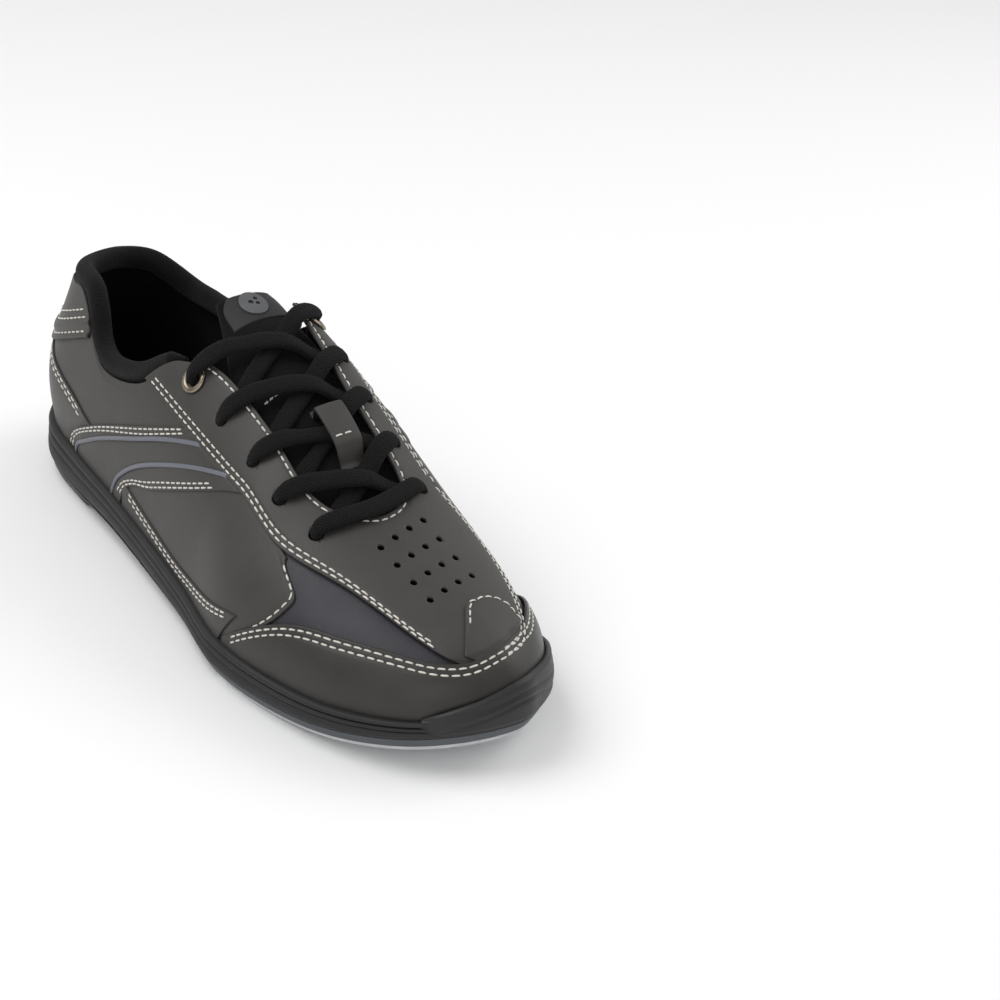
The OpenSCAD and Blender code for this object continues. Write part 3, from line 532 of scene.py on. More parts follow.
class Patch:
    """Ruled patch of the last surface between two edge curves, given as (p, phi) round the
    wall, or as (x, y) over the instep."""

    def __init__(self, first, second, plan=False):
        self.first, self.second = np.asarray(first, float), np.asarray(second, float)
        self.plan = plan

    def at(self, u, v):
        a = row_at(self.first, np.asarray(u) * (len(self.first) - 1))
        b = row_at(self.second, np.asarray(u) * (len(self.second) - 1))
        q = a + (b - a) * np.asarray(v)[..., None]
        return chart(q[..., 0], q[..., 1]) if self.plan else (q[..., 0], q[..., 1])

    def inset(self, side, w, t):
        """(p, phi) of the line w mm inside an edge: side 0 or 1 are the edge curves, and
        2 and 3 the patch's ends; t runs along the edge."""
        t = np.asarray(t, float)
        s = np.linspace(0, 1, 161)
        tt, ss = np.meshgrid(t, s, indexing="ij")
        p, phi = self.at(*((tt, ss) if side < 2 else (ss, tt)))
        pts = last(p, phi, 0)
        length = np.concatenate([np.zeros((len(t), 1)), np.cumsum(
            np.linalg.norm(np.diff(pts, axis=1), axis=2), axis=1)], 1)
        out = []
        for k in range(len(t)):
            total = length[k, -1]
            reach = w if side in (0, 2) else total - w
            out.append((np.interp(reach, length[k], p[k]), np.interp(reach, length[k], phi[k])))
        return np.array(out)


def cap_cover(p, phi):
    """0 away from the toe cap, 1 underneath it."""
    edge = np.interp(np.mod(p, 24), CAP_TOP[:, 0], CAP_TOP[:, 1], left=-20, right=-20)
    return smooth((edge + 4.5 - phi) / 3.0)


def vamp_cover(p, phi):
    """0 outside the vamp and the inner eyestay, 1 underneath them."""
    pts = last(p, phi, 0.0)
    x, y = pts[..., 0], pts[..., 1]
    outer = np.interp(x, [-46, -12, 29, 58, 90], [-35, -35.8, -37, -37, -26])
    inner = np.interp(x, [-35, -22, -2, 20, 38, 58, 93], [29.5, 30.5, 30, 29, 29.5, 31.9, 36])
    deep = np.minimum(y - outer, inner - y)
    return smooth((deep + 0.4) / 1.6) * (x > -45)


def wobble(pts):
    """Slight unevenness of a hand-lasted upper, the same for all layers (mm)."""
    x, y, z = pts[..., 0], pts[..., 1], pts[..., 2]
    return (0.22 * np.sin(x / 17 + y / 23) * np.sin(z / 15 + 1.3)
            + 0.13 * np.sin(x / 7.3 - z / 9.1 + 0.7) * np.sin(y / 8.7 + 2.1))


def near_lines(pts, lines, width):
    """How close each point is to any of the lines, 1 on a line and 0 beyond a few widths."""
    flat = pts.reshape(-1, 3)
    out = np.zeros(len(flat))
    for line in lines:
        line = np.asarray(line)
        lo, hi = line.min(0) - 4 * width, line.max(0) + 4 * width
        near = np.where(np.all((flat > lo) & (flat < hi), axis=1))[0]
        for part in np.array_split(near, max(1, len(near) // 4000)):
            if len(part):
                d = np.sqrt(((flat[part][:, None] - line[None]) ** 2).sum(2)).min(1)
                out[part] = np.maximum(out[part], np.exp(-(d / width) ** 2))
    return out.reshape(pts.shape[:-1])


def border_distance(pts, sides=(1, 1, 1, 1)):
    """Distance along the surface to the patch's border; sides switches its four edges."""
    def run(a, axis):
        step = np.linalg.norm(np.diff(a, axis=axis), axis=2)
        zero = np.zeros_like(np.take(a[..., 0], [0], axis=axis))
        return np.concatenate([zero, np.cumsum(step, axis=axis)], axis=axis)
    v, u = run(pts, 1), run(pts, 0)
    far = np.full(pts.shape[:2], 1e3)
    options = [v, v[:, -1:] - v, u, u[-1:, :] - u]
    return np.minimum.reduce([o for o, s in zip(options, sides) if s] + [far])


STITCHES = []


def stitched(rows, top):
    """Remembers stitch rows of (p, phi) points that lie on the face top mm outside the last."""
    lines = []
    for row in rows:
        p, phi = row[:, 0], row[:, 1]
        lines.append(last(p, phi, top))
        STITCHES.append((row, top))
    return lines


def panel(name, patch, top, material, nu, nv, thick=1.0, seams=(), sides=(1, 1, 1, 1),
          puff=0.0, round_edge=0.55, tuck=False, extra=None):
    """Leather panel with rounded edges, pulled in along its seams."""
    guess = last(*patch.at(np.linspace(0, 1, 30), np.full(30, 0.5)), top)
    length = np.linalg.norm(np.diff(guess, axis=0), axis=1).sum()
    across = last(*patch.at(np.full(30, 0.5), np.linspace(0, 1, 30)), top)
    width = np.linalg.norm(np.diff(across, axis=0), axis=1).sum()
    u, v = spaced(nu, length), spaced(nv, width)
    uu, vv = np.meshgrid(u, v, indexing="ij")
    p, phi = patch.at(uu, vv)
    base = last(p, phi, top)
    dist = border_distance(base, sides)
    drop = np.where(dist < round_edge,
                    round_edge - np.sqrt(np.maximum(round_edge ** 2
                                                    - (round_edge - dist) ** 2, 0)), 0)
    lines = stitched(seams, top)
    dip = 0.28 * near_lines(base, lines, 0.8) if lines else 0
    d = top - drop - dip + wobble(base) + puff * smooth(dist / 7)
    low = top - thick + wobble(base)
    if tuck:
        cover = cap_cover(p, phi)
        d, low = d - 1.15 * cover, low - 1.15 * cover
    if extra is not None:
        d = d + extra(p, phi, base)
    verts, faces = closed_sheet(last(p, phi, d), last(p, phi, low))
    # edge attribute for the leather's painted shade: near 1 along the panel's border and 1 over
    # the whole back face
    shade_edge = np.exp(-(dist / 0.5) ** 2).ravel()
    edge = np.concatenate([shade_edge, np.ones(shade_edge.size)])
    grid_uv = np.stack([uu * length, vv * width], -1).reshape(-1, 2)
    return mesh_piece(name, verts, faces, material, np.concatenate([grid_uv, grid_uv]), edge)


def drill(piece, holes):
    """Cuts holes, each (x, y, diameter), through a panel along the surface's normal."""
    verts, faces = [], []
    for x, y, size in holes:
        p, phi = chart(x, y)
        c, n = last(p, phi, 0.0), normal(p, phi)
        a = np.cross(n, [0, 1, 0])
        a /= np.linalg.norm(a)
        b = np.cross(n, a)
        k = len(verts)
        for h in (-5, 5):
            for t in range(28):
                w = 2 * math.pi * t / 28
                verts.append(c + n * h + (a * math.cos(w) + b * math.sin(w)) * size / 2)
        faces += [(k + t, k + (t + 1) % 28, k + 28 + (t + 1) % 28, k + 28 + t)
                  for t in range(28)]
        faces += [tuple(range(k + 27, k - 1, -1)), tuple(range(k + 28, k + 56))]
    cutter = mesh_piece("cutter", verts, faces, "leather")
    cut(piece, cutter)


def cut(piece, cutter, operation="DIFFERENCE"):
    m = piece.modifiers.new("cut", "BOOLEAN")
    m.operation, m.object, m.solver = operation, cutter, "MANIFOLD"
    dg = bpy.context.evaluated_depsgraph_get()
    done = bpy.data.meshes.new_from_object(piece.evaluated_get(dg))
    piece.modifiers.clear()
    piece.data = done
    bpy.data.objects.remove(cutter)


def flex(o):
    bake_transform(o)
    return o


def place(o, body, slot, *nodes):
    if body == "flex":
        flex(o)
    else:
        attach(o, body)
    if nodes:
        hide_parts(*nodes)
    return o


# ---- sole ----------------------------------------------------------------------------------
BALL_X, BREAST_X, PAD_BACK_X, BEVEL_X = 60, -87, 14, -128
PAD_T, LAYER_T, TREAD_T, ARCH_RISE, TOE_SPRING = 1.6, 4.0, 6.0, 2.6, 11.5


def ground_z(x):
    spring = np.where(x > BALL_X, TOE_SPRING * ((x - BALL_X) / 89) ** 2, 0)
    bevel = np.where(x < BEVEL_X, 2.5 * ((BEVEL_X - x) / 21) ** 2, 0)
    return spring + bevel + ARCH_RISE * smooth((x - BREAST_X) / 4) * smooth(
        (PAD_BACK_X - x) / 4)


def toe_ground(x):
    return np.where(x > BALL_X, ground_z(x), 0)


def deck_z(x):
    t = smooth((x + 75) / 90)
    return toe_ground(x) + (TREAD_T + 1.8) * (1 - t) + (PAD_T + LAYER_T) * t


def waist(p):
    u, q = station(p), np.mod(p, 24)
    return np.where(q < 12, 1.5 * smooth(1 - np.abs(u - 4.5) / 3),
                    8 * smooth(1 - np.abs(u - 4.8) / 3))


def sole_layer(name, u0, u1, profile, bottom, top, draw_in, material, steps=260):
    """Solid of the sole between stations u0 and u1; profile is (d, t) from bottom to top."""
    ease = np.linspace(0, 1, steps)
    if u0 == 0 and u1 < 12:
        ease = np.where(ease < 0.5, ease ** 2 * 2, ease)
    u = u0 + (u1 - u0) * (0.5 - 0.5 * np.cos(np.pi * ease) if u1 - u0 > 11 else ease)
    d = np.array([q[0] for q in profile], float)
    t = np.array([q[1] for q in profile], float)

    def side(p):
        pp, dd = np.meshgrid(p, d, indexing="ij")
        tt = np.broadcast_to(t, pp.shape)
        xy = rim_at(pp, dd - draw_in * waist(pp) * (1 - tt))
        lo, hi = bottom(xy[..., 0], pp), top(xy[..., 0], pp)
        return np.dstack([xy, lo + (hi - lo) * tt])
    outer, inner = side(u), side(24 - u)[:, ::-1]
    ring = np.concatenate([outer, inner], 1)
    rows, cols = ring.shape[:2]
    faces = grid_faces(rows, cols, wrap_cols=True)
    faces += [tuple(range(cols)), tuple(range(rows * cols - 1, (rows - 1) * cols - 1, -1))]
    o = mesh_piece(name, ring.reshape(-1, 3), faces, material)
    weld(o)
    return o


def weld(o, dist=2e-5):
    """Merges doubled points and turns the faces outwards."""
    import bmesh
    b = bmesh.new()
    b.from_mesh(o.data)
    bmesh.ops.remove_doubles(b, verts=b.verts, dist=dist)
    bmesh.ops.dissolve_degenerate(b, edges=b.edges, dist=1e-6)
    bmesh.ops.recalc_face_normals(b, faces=b.faces)
    b.to_mesh(o.data)
    b.free()


def prism(outline, low, high):
    """Upright prism of a plan outline, used as a cutter."""
    n = len(outline)
    verts = [(x, y, z) for z in (low, high) for x, y in outline]
    faces = [tuple(range(n - 1, -1, -1)), tuple(range(n, 2 * n))]
    faces += [(k, (k + 1) % n, n + (k + 1) % n, n + k) for k in range(n)]
    o = mesh_piece("cutter", verts, faces, "tread", flat=True)
    weld(o, 1e-9)
    return o


def arc(cx, cy, r, a0, a1, n=24):
    return [(cx + r * math.cos(math.radians(a)), cy + r * math.sin(math.radians(a)))
            for a in np.linspace(a0, a1, n)]


def pad_back(back=0.0):
    """Plan outline behind the V-shaped rear edge of the slide pad."""
    return [(60 - back, -70), (38 - back, -38), (16 - back, -14), (14 - back, 0),
            (16 - back, 12), (42 - back, 36), (58 - back, 70), (-20, 70), (-20, -70)]


GROOVE_R = 150


def groove_outline(k, w):
    cx = 48 + 9.5 * k - GROOVE_R
    return (arc(cx, 2, GROOVE_R + w / 2, -12.5, 12.5)
            + arc(cx, 2, GROOVE_R - w / 2, 12.5, -12.5))


def bevelled(o, width, segments=2, angle=40):
    m = o.modifiers.new("bevel", "BEVEL")
    m.width, m.segments, m.limit_method = width * MM, segments, "ANGLE"
    m.angle_limit = math.radians(angle)
    dg = bpy.context.evaluated_depsgraph_get()
    done = bpy.data.meshes.new_from_object(o.evaluated_get(dg))
    o.modifiers.clear()
    o.data = done


def sharp_shading(o, angle=32):
    """Smooth shading, with edges steeper than the angle kept sharp."""
    import bmesh
    b = bmesh.new()
    b.from_mesh(o.data)
    for e in b.edges:
        if len(e.link_faces) == 2 and e.calc_face_angle(0) > math.radians(angle):
            e.smooth = False
    for f in b.faces:
        f.smooth = True
    b.to_mesh(o.data)
    b.free()


def inlay(name, outline, low, high, material):
    o = prism(outline, low, high)
    o.name = o.data.name = name
    o.data.materials.clear()
    o.data.materials.append(MAT[material])
    bevelled(o, 0.25)
    sharp_shading(o)
    return o


def join(name, parts):
    bpy.ops.object.select_all(action="DESELECT")
    for o in parts:
        o.select_set(True)
    bpy.context.view_layer.objects.active = parts[0]
    if len(parts) > 1:
        bpy.ops.object.join()
    parts[0].name = parts[0].data.name = name
    return parts[0]


STRIPE = [(-56, -10), (8, -10), (8, 10), (-56, 10)]


def grown(outline, gap):
    c = np.mean(outline, axis=0)
    return [tuple(np.array(q) + gap * np.sign(np.array(q) - c)) for q in outline]


def chevron(side, gap=0.0):
    r1, r0 = 69 + gap, 52 - gap
    lo, hi = 12 - gap, 29 + gap
    out = [math.degrees(math.acos((72 - y) / r1)) for y in (lo, hi)]
    back = -80 - gap
    a_in = (math.degrees(math.acos((72 - hi) / r0)), math.degrees(math.asin((back + 100) / r0)))
    pts = [(back, lo)]
    pts += [(-100 + r1 * math.sin(math.radians(a)), 72 - r1 * math.cos(math.radians(a)))
            for a in np.linspace(out[0], out[1], 18)]
    pts += [(-100 + r0 * math.sin(math.radians(a)), 72 - r0 * math.cos(math.radians(a)))
            for a in np.linspace(a_in[0], a_in[1], 18)]
    pts = [(x, side * y) for x, y in pts]
    return pts if side > 0 else pts[::-1]


def crescent(gap=0.0):
    """Ring segment between two circles that cross in front."""
    r1, r0, c1, c0 = 25 + gap, 21 - gap, -112.0, -104.0
    x = (r1 ** 2 - r0 ** 2 + c0 ** 2 - c1 ** 2) / (2 * (c0 - c1))
    a1 = math.degrees(math.acos((x - c1) / r1))
    a0 = math.degrees(math.acos((x - c0) / r0))
    return arc(c1, 0, r1, a1, 360 - a1, 48) + arc(c0, 0, r0, 360 - a0, a0, 48)


def build_sole():
    def low_pad(x, p):
        return ground_z(x)
    pad = sole_layer("slide_pad_felt", 6.0, 12, [(-0.4, 0), (0.1, 0.3), (0.1, 1)], low_pad,
                     lambda x, p: ground_z(x) + PAD_T, 1, "pad")
    cut(pad, prism(pad_back(), -2, 9))
    for k in range(4):
        cut(pad, prism(groove_outline(k, 2.4), -2, 5))
    sharp_shading(pad)
    place(pad, "flex", "slide_pad_grey", "slide_pad")

    grooves = [inlay("g%d" % k, groove_outline(k, 2.2), 0.5, 1.5, "groove") for k in range(4)]
    place(join("flex_groove_floors", grooves), "flex", "groove_grey", "flex_grooves")

    edge = sole_layer("pad_edge", 6.0, 8.2, [(-0.6, 0), (-0.6, 1)], lambda x, p: 0 * x + 0.2,
                      lambda x, p: 0 * x + PAD_T, 1, "band", 120)
    cut(edge, prism(pad_back(4.6), -2, 9))
    back = pad_back(0.3)
    cut(edge, prism([(120, -70)] + back[:7] + [(120, 70)], -2, 9))
    sharp_shading(edge)
    place(edge, "flex", "pad_band_grey", "pad_edge_band")

    fore = sole_layer("forefoot_layer", 6.0, 12,
                      [(0.2, 0), (0.8, 0.06), (1.5, 0.4), (2.2, 0.8), (2.4, 0.95), (2.1, 1)],
                      lambda x, p: toe_ground(x) + PAD_T + 0.05,
                      lambda x, p: deck_z(x) - 0.05, 1, "tread_grey")
    cut(fore, prism(pad_back(5), -2, 30))
    sharp_shading(fore)
    place(fore, "flex", "tread_grey", "forefoot_rubber")

    tread = sole_layer("heel_and_arch_tread", 0, 7.6,
                       [(-1.4, 0), (-0.9, 0.04), (0.2, 0.2), (1.2, 0.5), (2.0, 0.85), (2.2, 1)],
                       lambda x, p: ground_z(x), lambda x, p: deck_z(x) - 0.05, 1, "tread")
    back = pad_back(5.4)
    cut(tread, prism([(140, -70)] + back[:7] + [(140, 70)], -2, 40))
    cut(tread, prism(grown(STRIPE, 0.15), -2, 4.2))
    for side in (-1, 1):
        cut(tread, prism(chevron(side, 0.15), -2, 4.2))
    cut(tread, prism(crescent(0.15), -2, 1.6))
    # two fine grooves along the arch
    for y in (-26.5, 26.5):
        cut(tread, prism([(-72, y - 0.5), (12, y - 0.5), (12, y + 0.5), (-72, y + 0.5)], -2, 3.2))
    sharp_shading(tread)
    place(tread, "flex", "tread_black", "heel_arch_tread")
    top = ARCH_RISE + 1.45
    place(inlay("centre_inlay", STRIPE, ARCH_RISE + 0.1, top, "tread_grey"), "shoe",
          "tread_grey", "centre_stripe")
    place(join("arch_inlays", [inlay("c", chevron(s), ARCH_RISE + 0.1, top, "tread_grey")
                               for s in (-1, 1)]), "shoe", "tread_grey", "arch_chevrons")
    place(inlay("heel_inlay", crescent(), 0.15, 1.45, "tread_grey"), "shoe", "tread_grey",
          "heel_crescent")

    mid = sole_layer("midsole_unit", 0, 12, [
        (1.6, 0), (2.5, 0.015), (3.0, 0.06), (3.3, 0.14), (3.4, 0.24), (3.3, 0.37), (2.9, 0.44),
        (2.55, 0.455), (2.5, 0.475), (2.9, 0.49), (3.15, 0.54), (3.1, 0.62), (2.75, 0.68),
        (1.9, 0.695), (1.75, 0.72), (2.0, 0.745), (2.6, 0.76), (3.0, 0.81), (3.05, 0.88),
        (2.7, 0.95), (2.1, 0.985), (1.2, 1)],
        lambda x, p: deck_z(x), lambda x, p: feather_z(p) - 0.1, 0.6, "midsole", 420)
    place(mid, "flex", "midsole_black", "midsole")


def board(name, u0, u1, inset, rise, thick, material):
    return sole_layer(name, u0, u1, [(-inset - 0.4, 0), (-inset, 0.25), (-inset, 0.75),
                                     (-inset - 0.4, 1)],
                      lambda x, p: feather_z(p) + rise,
                      lambda x, p: feather_z(p) + rise + thick, 0, material, 160)


def build_inside():
    place(board("fibre_insole_board", 0.25, 11.75, 5.6, 1.6, 1.6, "board"), "flex",
          "insole_fibreboard", "insole_board")
    place(board("cork_filler_layer", 6.8, 11.1, 7.5, 0.1, 0.9, "cork"), "flex", "cork",
          "cork_filler")
    foot = board("footbed_cushion", 0.3, 11.7, 6.2, 3.5, 3.6, "footbed")
    place(foot, "flex", "footbed_fabric", "footbed")
    for node, material, slot in (("shank", "steel", "steel_shank"),
                                 ("toe_puff", "sheet", "stiffener_sheet"),
                                 ("heel_stiffener", "sheet", "stiffener_sheet")):
        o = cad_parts[node]
        o.data.materials.clear()
        o.data.materials.append(MAT[material])


# ---- panels of the upper ---------------------------------------------------------------------
UNDER, PANEL, OVER, PATCH = -1.7, -0.6, 0.5, 1.5


COLLAR = [(0, 30), (1, 31), (2, 34), (2.5, 35), (2.8, 31), (3.1, 24), (3.4, 22), (3.75, 25),
          (4.1, 31), (4.45, 42), (4.75, 53)]
INNER_COLLAR = [(0, 30), (1, 28), (2, 20.5), (2.5, 19.3), (2.8, 19), (3.1, 19.3),
                (3.4, 20.3), (3.75, 23), (4.1, 30), (4.45, 42), (4.75, 53)]
QUARTER_FOOT = [(0.02, 3), (1.4, 3), (2.6, 3), (3.4, 5), (4.2, 14), (4.9, 28), (5.6, 42)]
QUARTER_TOP = [(0.02, 30.5), (1.4, 33), (2.5, 37), (2.87, 32.6), (3.38, 25.0), (4.1, 32),
               (4.5, 43.5)]
INNER_QUARTER_TOP = [(0.02, 30.5), (1.3, 27.5), (2.2, 20.9), (2.8, 20), (3.4, 21.3),
                     (4.1, 30.6), (4.5, 43.5)]
SIDE_FOOT = [(4.0, -2), (5, -2), (6, -2), (6.7, -2), (7.1, -2)]
SIDE_TOP = [(4.1, 14), (5, 31), (6.2, 46), (7.25, 49), (8.05, 46)]
UNDERLAY_FOOT = [(6.6, -2), (7.6, -2), (8.6, -2), (9.6, -2), (10.6, -2)]
UNDERLAY_TOP = [(7.0, 49), (7.9, 55), (8.6, 61), (9.5, 64), (10.9, 58)]
BAND_BACK = [(2.68, -2), (2.76, 2), (3.33, 9), (4.23, 21.6), (4.88, 32.2), (5.45, 42.5)]
BAND_FRONT = [(4.12, -2), (4.24, 4), (4.5, 8.6), (4.95, 14), (5.75, 27.5), (6.5, 43.5)]
PIPING_HIGH = [(2.9, -1), (2.98, 1.5), (3.33, 5.5), (4.28, 18.5), (4.9, 28.5), (5.75, 42)]
PIPING_LOW = [(3.9, -1), (3.95, 1.5), (4.1, 6), (4.58, 15.5), (5.35, 28.2), (6.25, 43)]
FOXING_FOOT = [(4.2, -2), (5, -2), (5.8, -2), (6.6, -2), (7.0, -2)]
FOXING_TOP = [(4.2, 6), (5, 4.6), (5.8, 4), (6.6, 7.8), (7.3, 14)]
COUNTER_FOOT = [(k * 1.6, -2) for k in range(-2, 3)]
COUNTER_TOP = [(-3.4, 8.5), (-1.8, 14.5), (0, 17), (1.8, 14.5), (3.4, 8.5)]
CAP_FOOT = [(7.1 + k, -2) for k in range(10)]
CAP_TOP = np.array([(7.1, 1.5), (8.05, 27), (8.8, 37), (9.7, 43), (10.9, 44.5), (12, 54),
                    (13.2, 53), (14.1, 44), (14.9, 32), (16.1, 1.5)], float)
THROAT = [(-27, -23.8), (-9, -20.3), (20, -19.5), (45, -20), (60, -15), (68, -4), (68, 5),
          (64, 11.5), (58, 14.5), (52, 15.5)]
VAMP_RIM = [(-46, -35), (-12, -35.8), (29, -37), (58, -37), (90, -26), (130, -12.5), (139, 6),
            (128, 24), (93, 36), (57, 32)]
STAY_INNER = [(-28, 19), (-18, 17.5), (0, 15.5), (20, 14), (35, 14.5), (53, 15.5)]
STAY_RIM = [(-35, 29.5), (-22, 30.5), (-2, 30), (20, 29), (38, 29.5), (58, 31.9)]
PATCH_BACK = [(112, 7), (113, 10), (112, 14), (113, 19), (117, 23)]
PATCH_FRONT = [(133, -7), (138, 0), (139, 8), (136, 18), (128, 27)]
EYELETS_OUTER = [(-21, -27.5), (2, -28.5), (26, -29), (45, -29), (64, -25)]
EYELETS_INNER = [(-20, 24), (3, 22.5), (23, 21), (42, 21.5), (61, 21.5)]
EYELET_D, VENT_D = 6.4, 2.7


class SoftCorner(Patch):
    """Plan patch whose first corner is drawn in, so that it reads as rounded."""

    def __init__(self, first, second, shift, reach_u, reach_v):
        super().__init__(first, second, plan=True)
        self.shift, self.reach = shift, (reach_u, reach_v)

    def at(self, u, v):
        a = row_at(self.first, np.asarray(u) * (len(self.first) - 1))
        b = row_at(self.second, np.asarray(u) * (len(self.second) - 1))
        q = a + (b - a) * np.asarray(v)[..., None]
        near = (np.clip(1 - np.asarray(u) / self.reach[0], 0, 1) ** 2
                * np.clip(1 - np.asarray(v) / self.reach[1], 0, 1) ** 2)
        return chart(q[..., 0] + near * self.shift[0], q[..., 1] + near * self.shift[1])


def tucked(curve):
    """Mirrored curve whose high points run on beneath the inner eyestay."""
    out = []
    lead = 15.0 if sum(phi > 37 for p, phi in curve) == 1 else 0.0
    for p, phi in curve:
        if phi > 37:
            x = float(last(24 - p, phi, 0.0)[0]) + lead
            q = chart(x, float(np.interp(x, [-45, 40, 95, 125], [27.5, 27, 31, 22])))
            out.append((float(q[0]), float(q[1])))
        else:
            out.append((24 - p, phi))
    return np.array(out)


class RoundedFront(Patch):
    """Side panel whose front end bows forward and rounds off at its top corner."""

    def __init__(self, first, second, way):
        super().__init__(first, second)
        self.way = way

    def at(self, u, v):
        p, phi = super().at(u, v)
        v = np.asarray(v)
        bow = 0.22 * np.sin(np.pi * np.clip(v / 0.9, 0, 1)) - 0.55 * smooth((v - 0.74) / 0.26) ** 2
        return p + self.way * bow * smooth((np.asarray(u) - 0.5) / 0.5), phi


def build_side(name, flip):
    """The panels of one side of the shoe: name is outer or inner."""
    turn = tucked if flip else np.array
    t = np.linspace
    under = Patch(turn(UNDERLAY_FOOT), turn(UNDERLAY_TOP))
    under = panel(name + "_underlay_leather", under, UNDER, "blue", 60, 40, puff=0.1)
    place(under, "flex", "leather_blue_black", name + "_underlay")
    quarter = Patch(turn(QUARTER_FOOT), turn(INNER_QUARTER_TOP if flip else QUARTER_TOP))
    o = panel(name + "_quarter_leather", quarter, PANEL, "leather", 90, 44, puff=0.25,
              extra=lambda p, phi, b: -0.9 * smooth((np.abs(phi - 4) < 30)
                                                    * (12 - phi) / 9) * (station(p) < 3))
    place(o, "shoe", "leather_charcoal", name + "_quarter")
    side = RoundedFront(turn(SIDE_FOOT), turn(SIDE_TOP), -1 if flip else 1)
    front = side.inset(3, 2.0, t(0.2, 0.97, 60))
    o = panel(name + "_side_leather", side, PANEL, "leather", 70, 46, puff=0.35, seams=[front])
    place(o, "flex", "leather_charcoal", name + "_side_panel")
    band = Patch(turn(BAND_BACK), turn(BAND_FRONT))
    seams = [band.inset(0, w, t(0.1, 0.9, 70)) for w in (1.7, 4.0)]
    seams += [band.inset(1, w, t(0.12, 0.91, 70)) for w in (1.6, 3.9)]
    pipes = [last(*smooth_curve(np.array(turn(c), float), 120).T, OVER)
             for c in (PIPING_HIGH, PIPING_LOW)]
    o = panel(name + "_band_leather", band, OVER, "leather", 90, 50, seams=seams,
              extra=lambda p, phi, b: (-0.35 * near_lines(b, pipes, 1.6)
                                       - 1.15 * vamp_cover(p, phi)))
    place(o, "shoe", "leather_charcoal", name + "_side_band")
    strips = []
    for k, c in enumerate((PIPING_HIGH, PIPING_LOW)):
        row = smooth_curve(np.array(turn(c), float), 40)
        strips.append(bead("p%d" % k, row, OVER + 0.05, 0.95, 0.62, "piping"))
    place(join(name + "_piping_strips", strips), "shoe", "piping_grey", name + "_piping")
    fox = Patch(turn(FOXING_FOOT), turn(FOXING_TOP))
    seams = [fox.inset(1, w, t(0.05, 0.95, 60)) for w in (1.4, 3.5)]
    o = panel(name + "_foxing_leather", fox, OVER, "leather", 70, 12, seams=seams)
    place(o, "flex", "leather_dark", name + "_foxing")


def bead(name, row, d, half_width, height, material, n=160):
    """Half-round strip along a row of (p, phi) points."""
    row = row_at(row, np.linspace(0, len(row) - 1, n))
    line = last(row[:, 0], row[:, 1], d - 1.5 * vamp_cover(row[:, 0], row[:, 1]))
    up = normal(row[:, 0], row[:, 1])
    tangent = np.gradient(line, axis=0)
    tangent /= np.linalg.norm(tangent, axis=1, keepdims=True)
    side = np.cross(tangent, up)
    verts = []
    angles = np.linspace(0, math.pi, 9)
    taper = np.minimum(1, np.minimum(np.arange(n), np.arange(n)[::-1]) / 2 + 0.3)
    for i in range(n):
        for a in angles:
            verts.append(line[i] + side[i] * half_width * math.cos(a) * taper[i]
                         + up[i] * (height * math.sin(a) * taper[i] - 0.15))
    k = len(angles)
    faces = grid_faces(n, k, wrap_cols=True)
    faces += [tuple(range(k)), tuple(range(n * k - 1, (n - 1) * k - 1, -1))]
    o = mesh_piece(name, verts, faces, material)
    weld(o, 1e-9)
    return o


def build_vamp():
    t = np.linspace
    vamp = SoftCorner(THROAT, VAMP_RIM, (4.0, -1.2), 0.035, 0.5)
    seams = [vamp.inset(1, w, t(0.01, 0.55, 200)) for w in (1.9, 4.2)]
    seams += [vamp.inset(1, w, t(0.68, 0.995, 110)) for w in (1.9, 4.2)]
    seams += [vamp.inset(0, 2.2, t(0.05, 0.995, 200))]
    o = panel("vamp_leather", vamp, OVER, "leather", 150, 50, seams=seams, tuck=True)
    holes = [(x, y, EYELET_D - 0.6) for x, y in EYELETS_OUTER + EYELETS_INNER[4:]]
    for r in range(4):
        for c in range(4):
            holes.append((80.5 + 9.1 * r - 1.8 * c, -8.2 + 1.15 * r + 7.2 * c, VENT_D))
    drill(o, holes)
    place(o, "flex", "leather_charcoal", "vamp")
    stay = Patch(STAY_INNER, STAY_RIM, plan=True)
    seams = [stay.inset(1, w, t(0.02, 0.99, 120)) for w in (1.9, 4.2)]
    seams += [stay.inset(0, 2.2, t(0.02, 0.99, 120))]
    o = panel("inner_eyestay_leather", stay, OVER, "leather", 90, 26, seams=seams)
    drill(o, [(x, y, EYELET_D - 0.6) for x, y in EYELETS_INNER[:4]])
    place(o, "flex", "leather_charcoal", "inner_eyestay")


def build_toe():
    t = np.linspace
    cap = Patch(CAP_FOOT, CAP_TOP)
    seams = [cap.inset(1, w, t(0.02, 0.98, 320)) for w in (1.9, 4.2)]
    o = panel("toe_cap_leather", cap, OVER, "cap", 200, 40, seams=seams, puff=0.15)
    place(o, "flex", "leather_dark", "toe_cap")
    patch = SoftCorner(PATCH_BACK, PATCH_FRONT, (2.6, 1.2), 0.25, 0.25)
    seams = [patch.inset(0, 1.9, t(0.04, 0.96, 40)), patch.inset(2, 1.9, t(0.1, 0.62, 30)),
             patch.inset(3, 1.9, t(0.15, 0.7, 30))]
    o = panel("toe_patch_leather", patch, PATCH, "leather", 40, 30, seams=seams, tuck=True)
    place(o, "flex", "leather_charcoal", "toe_patch")


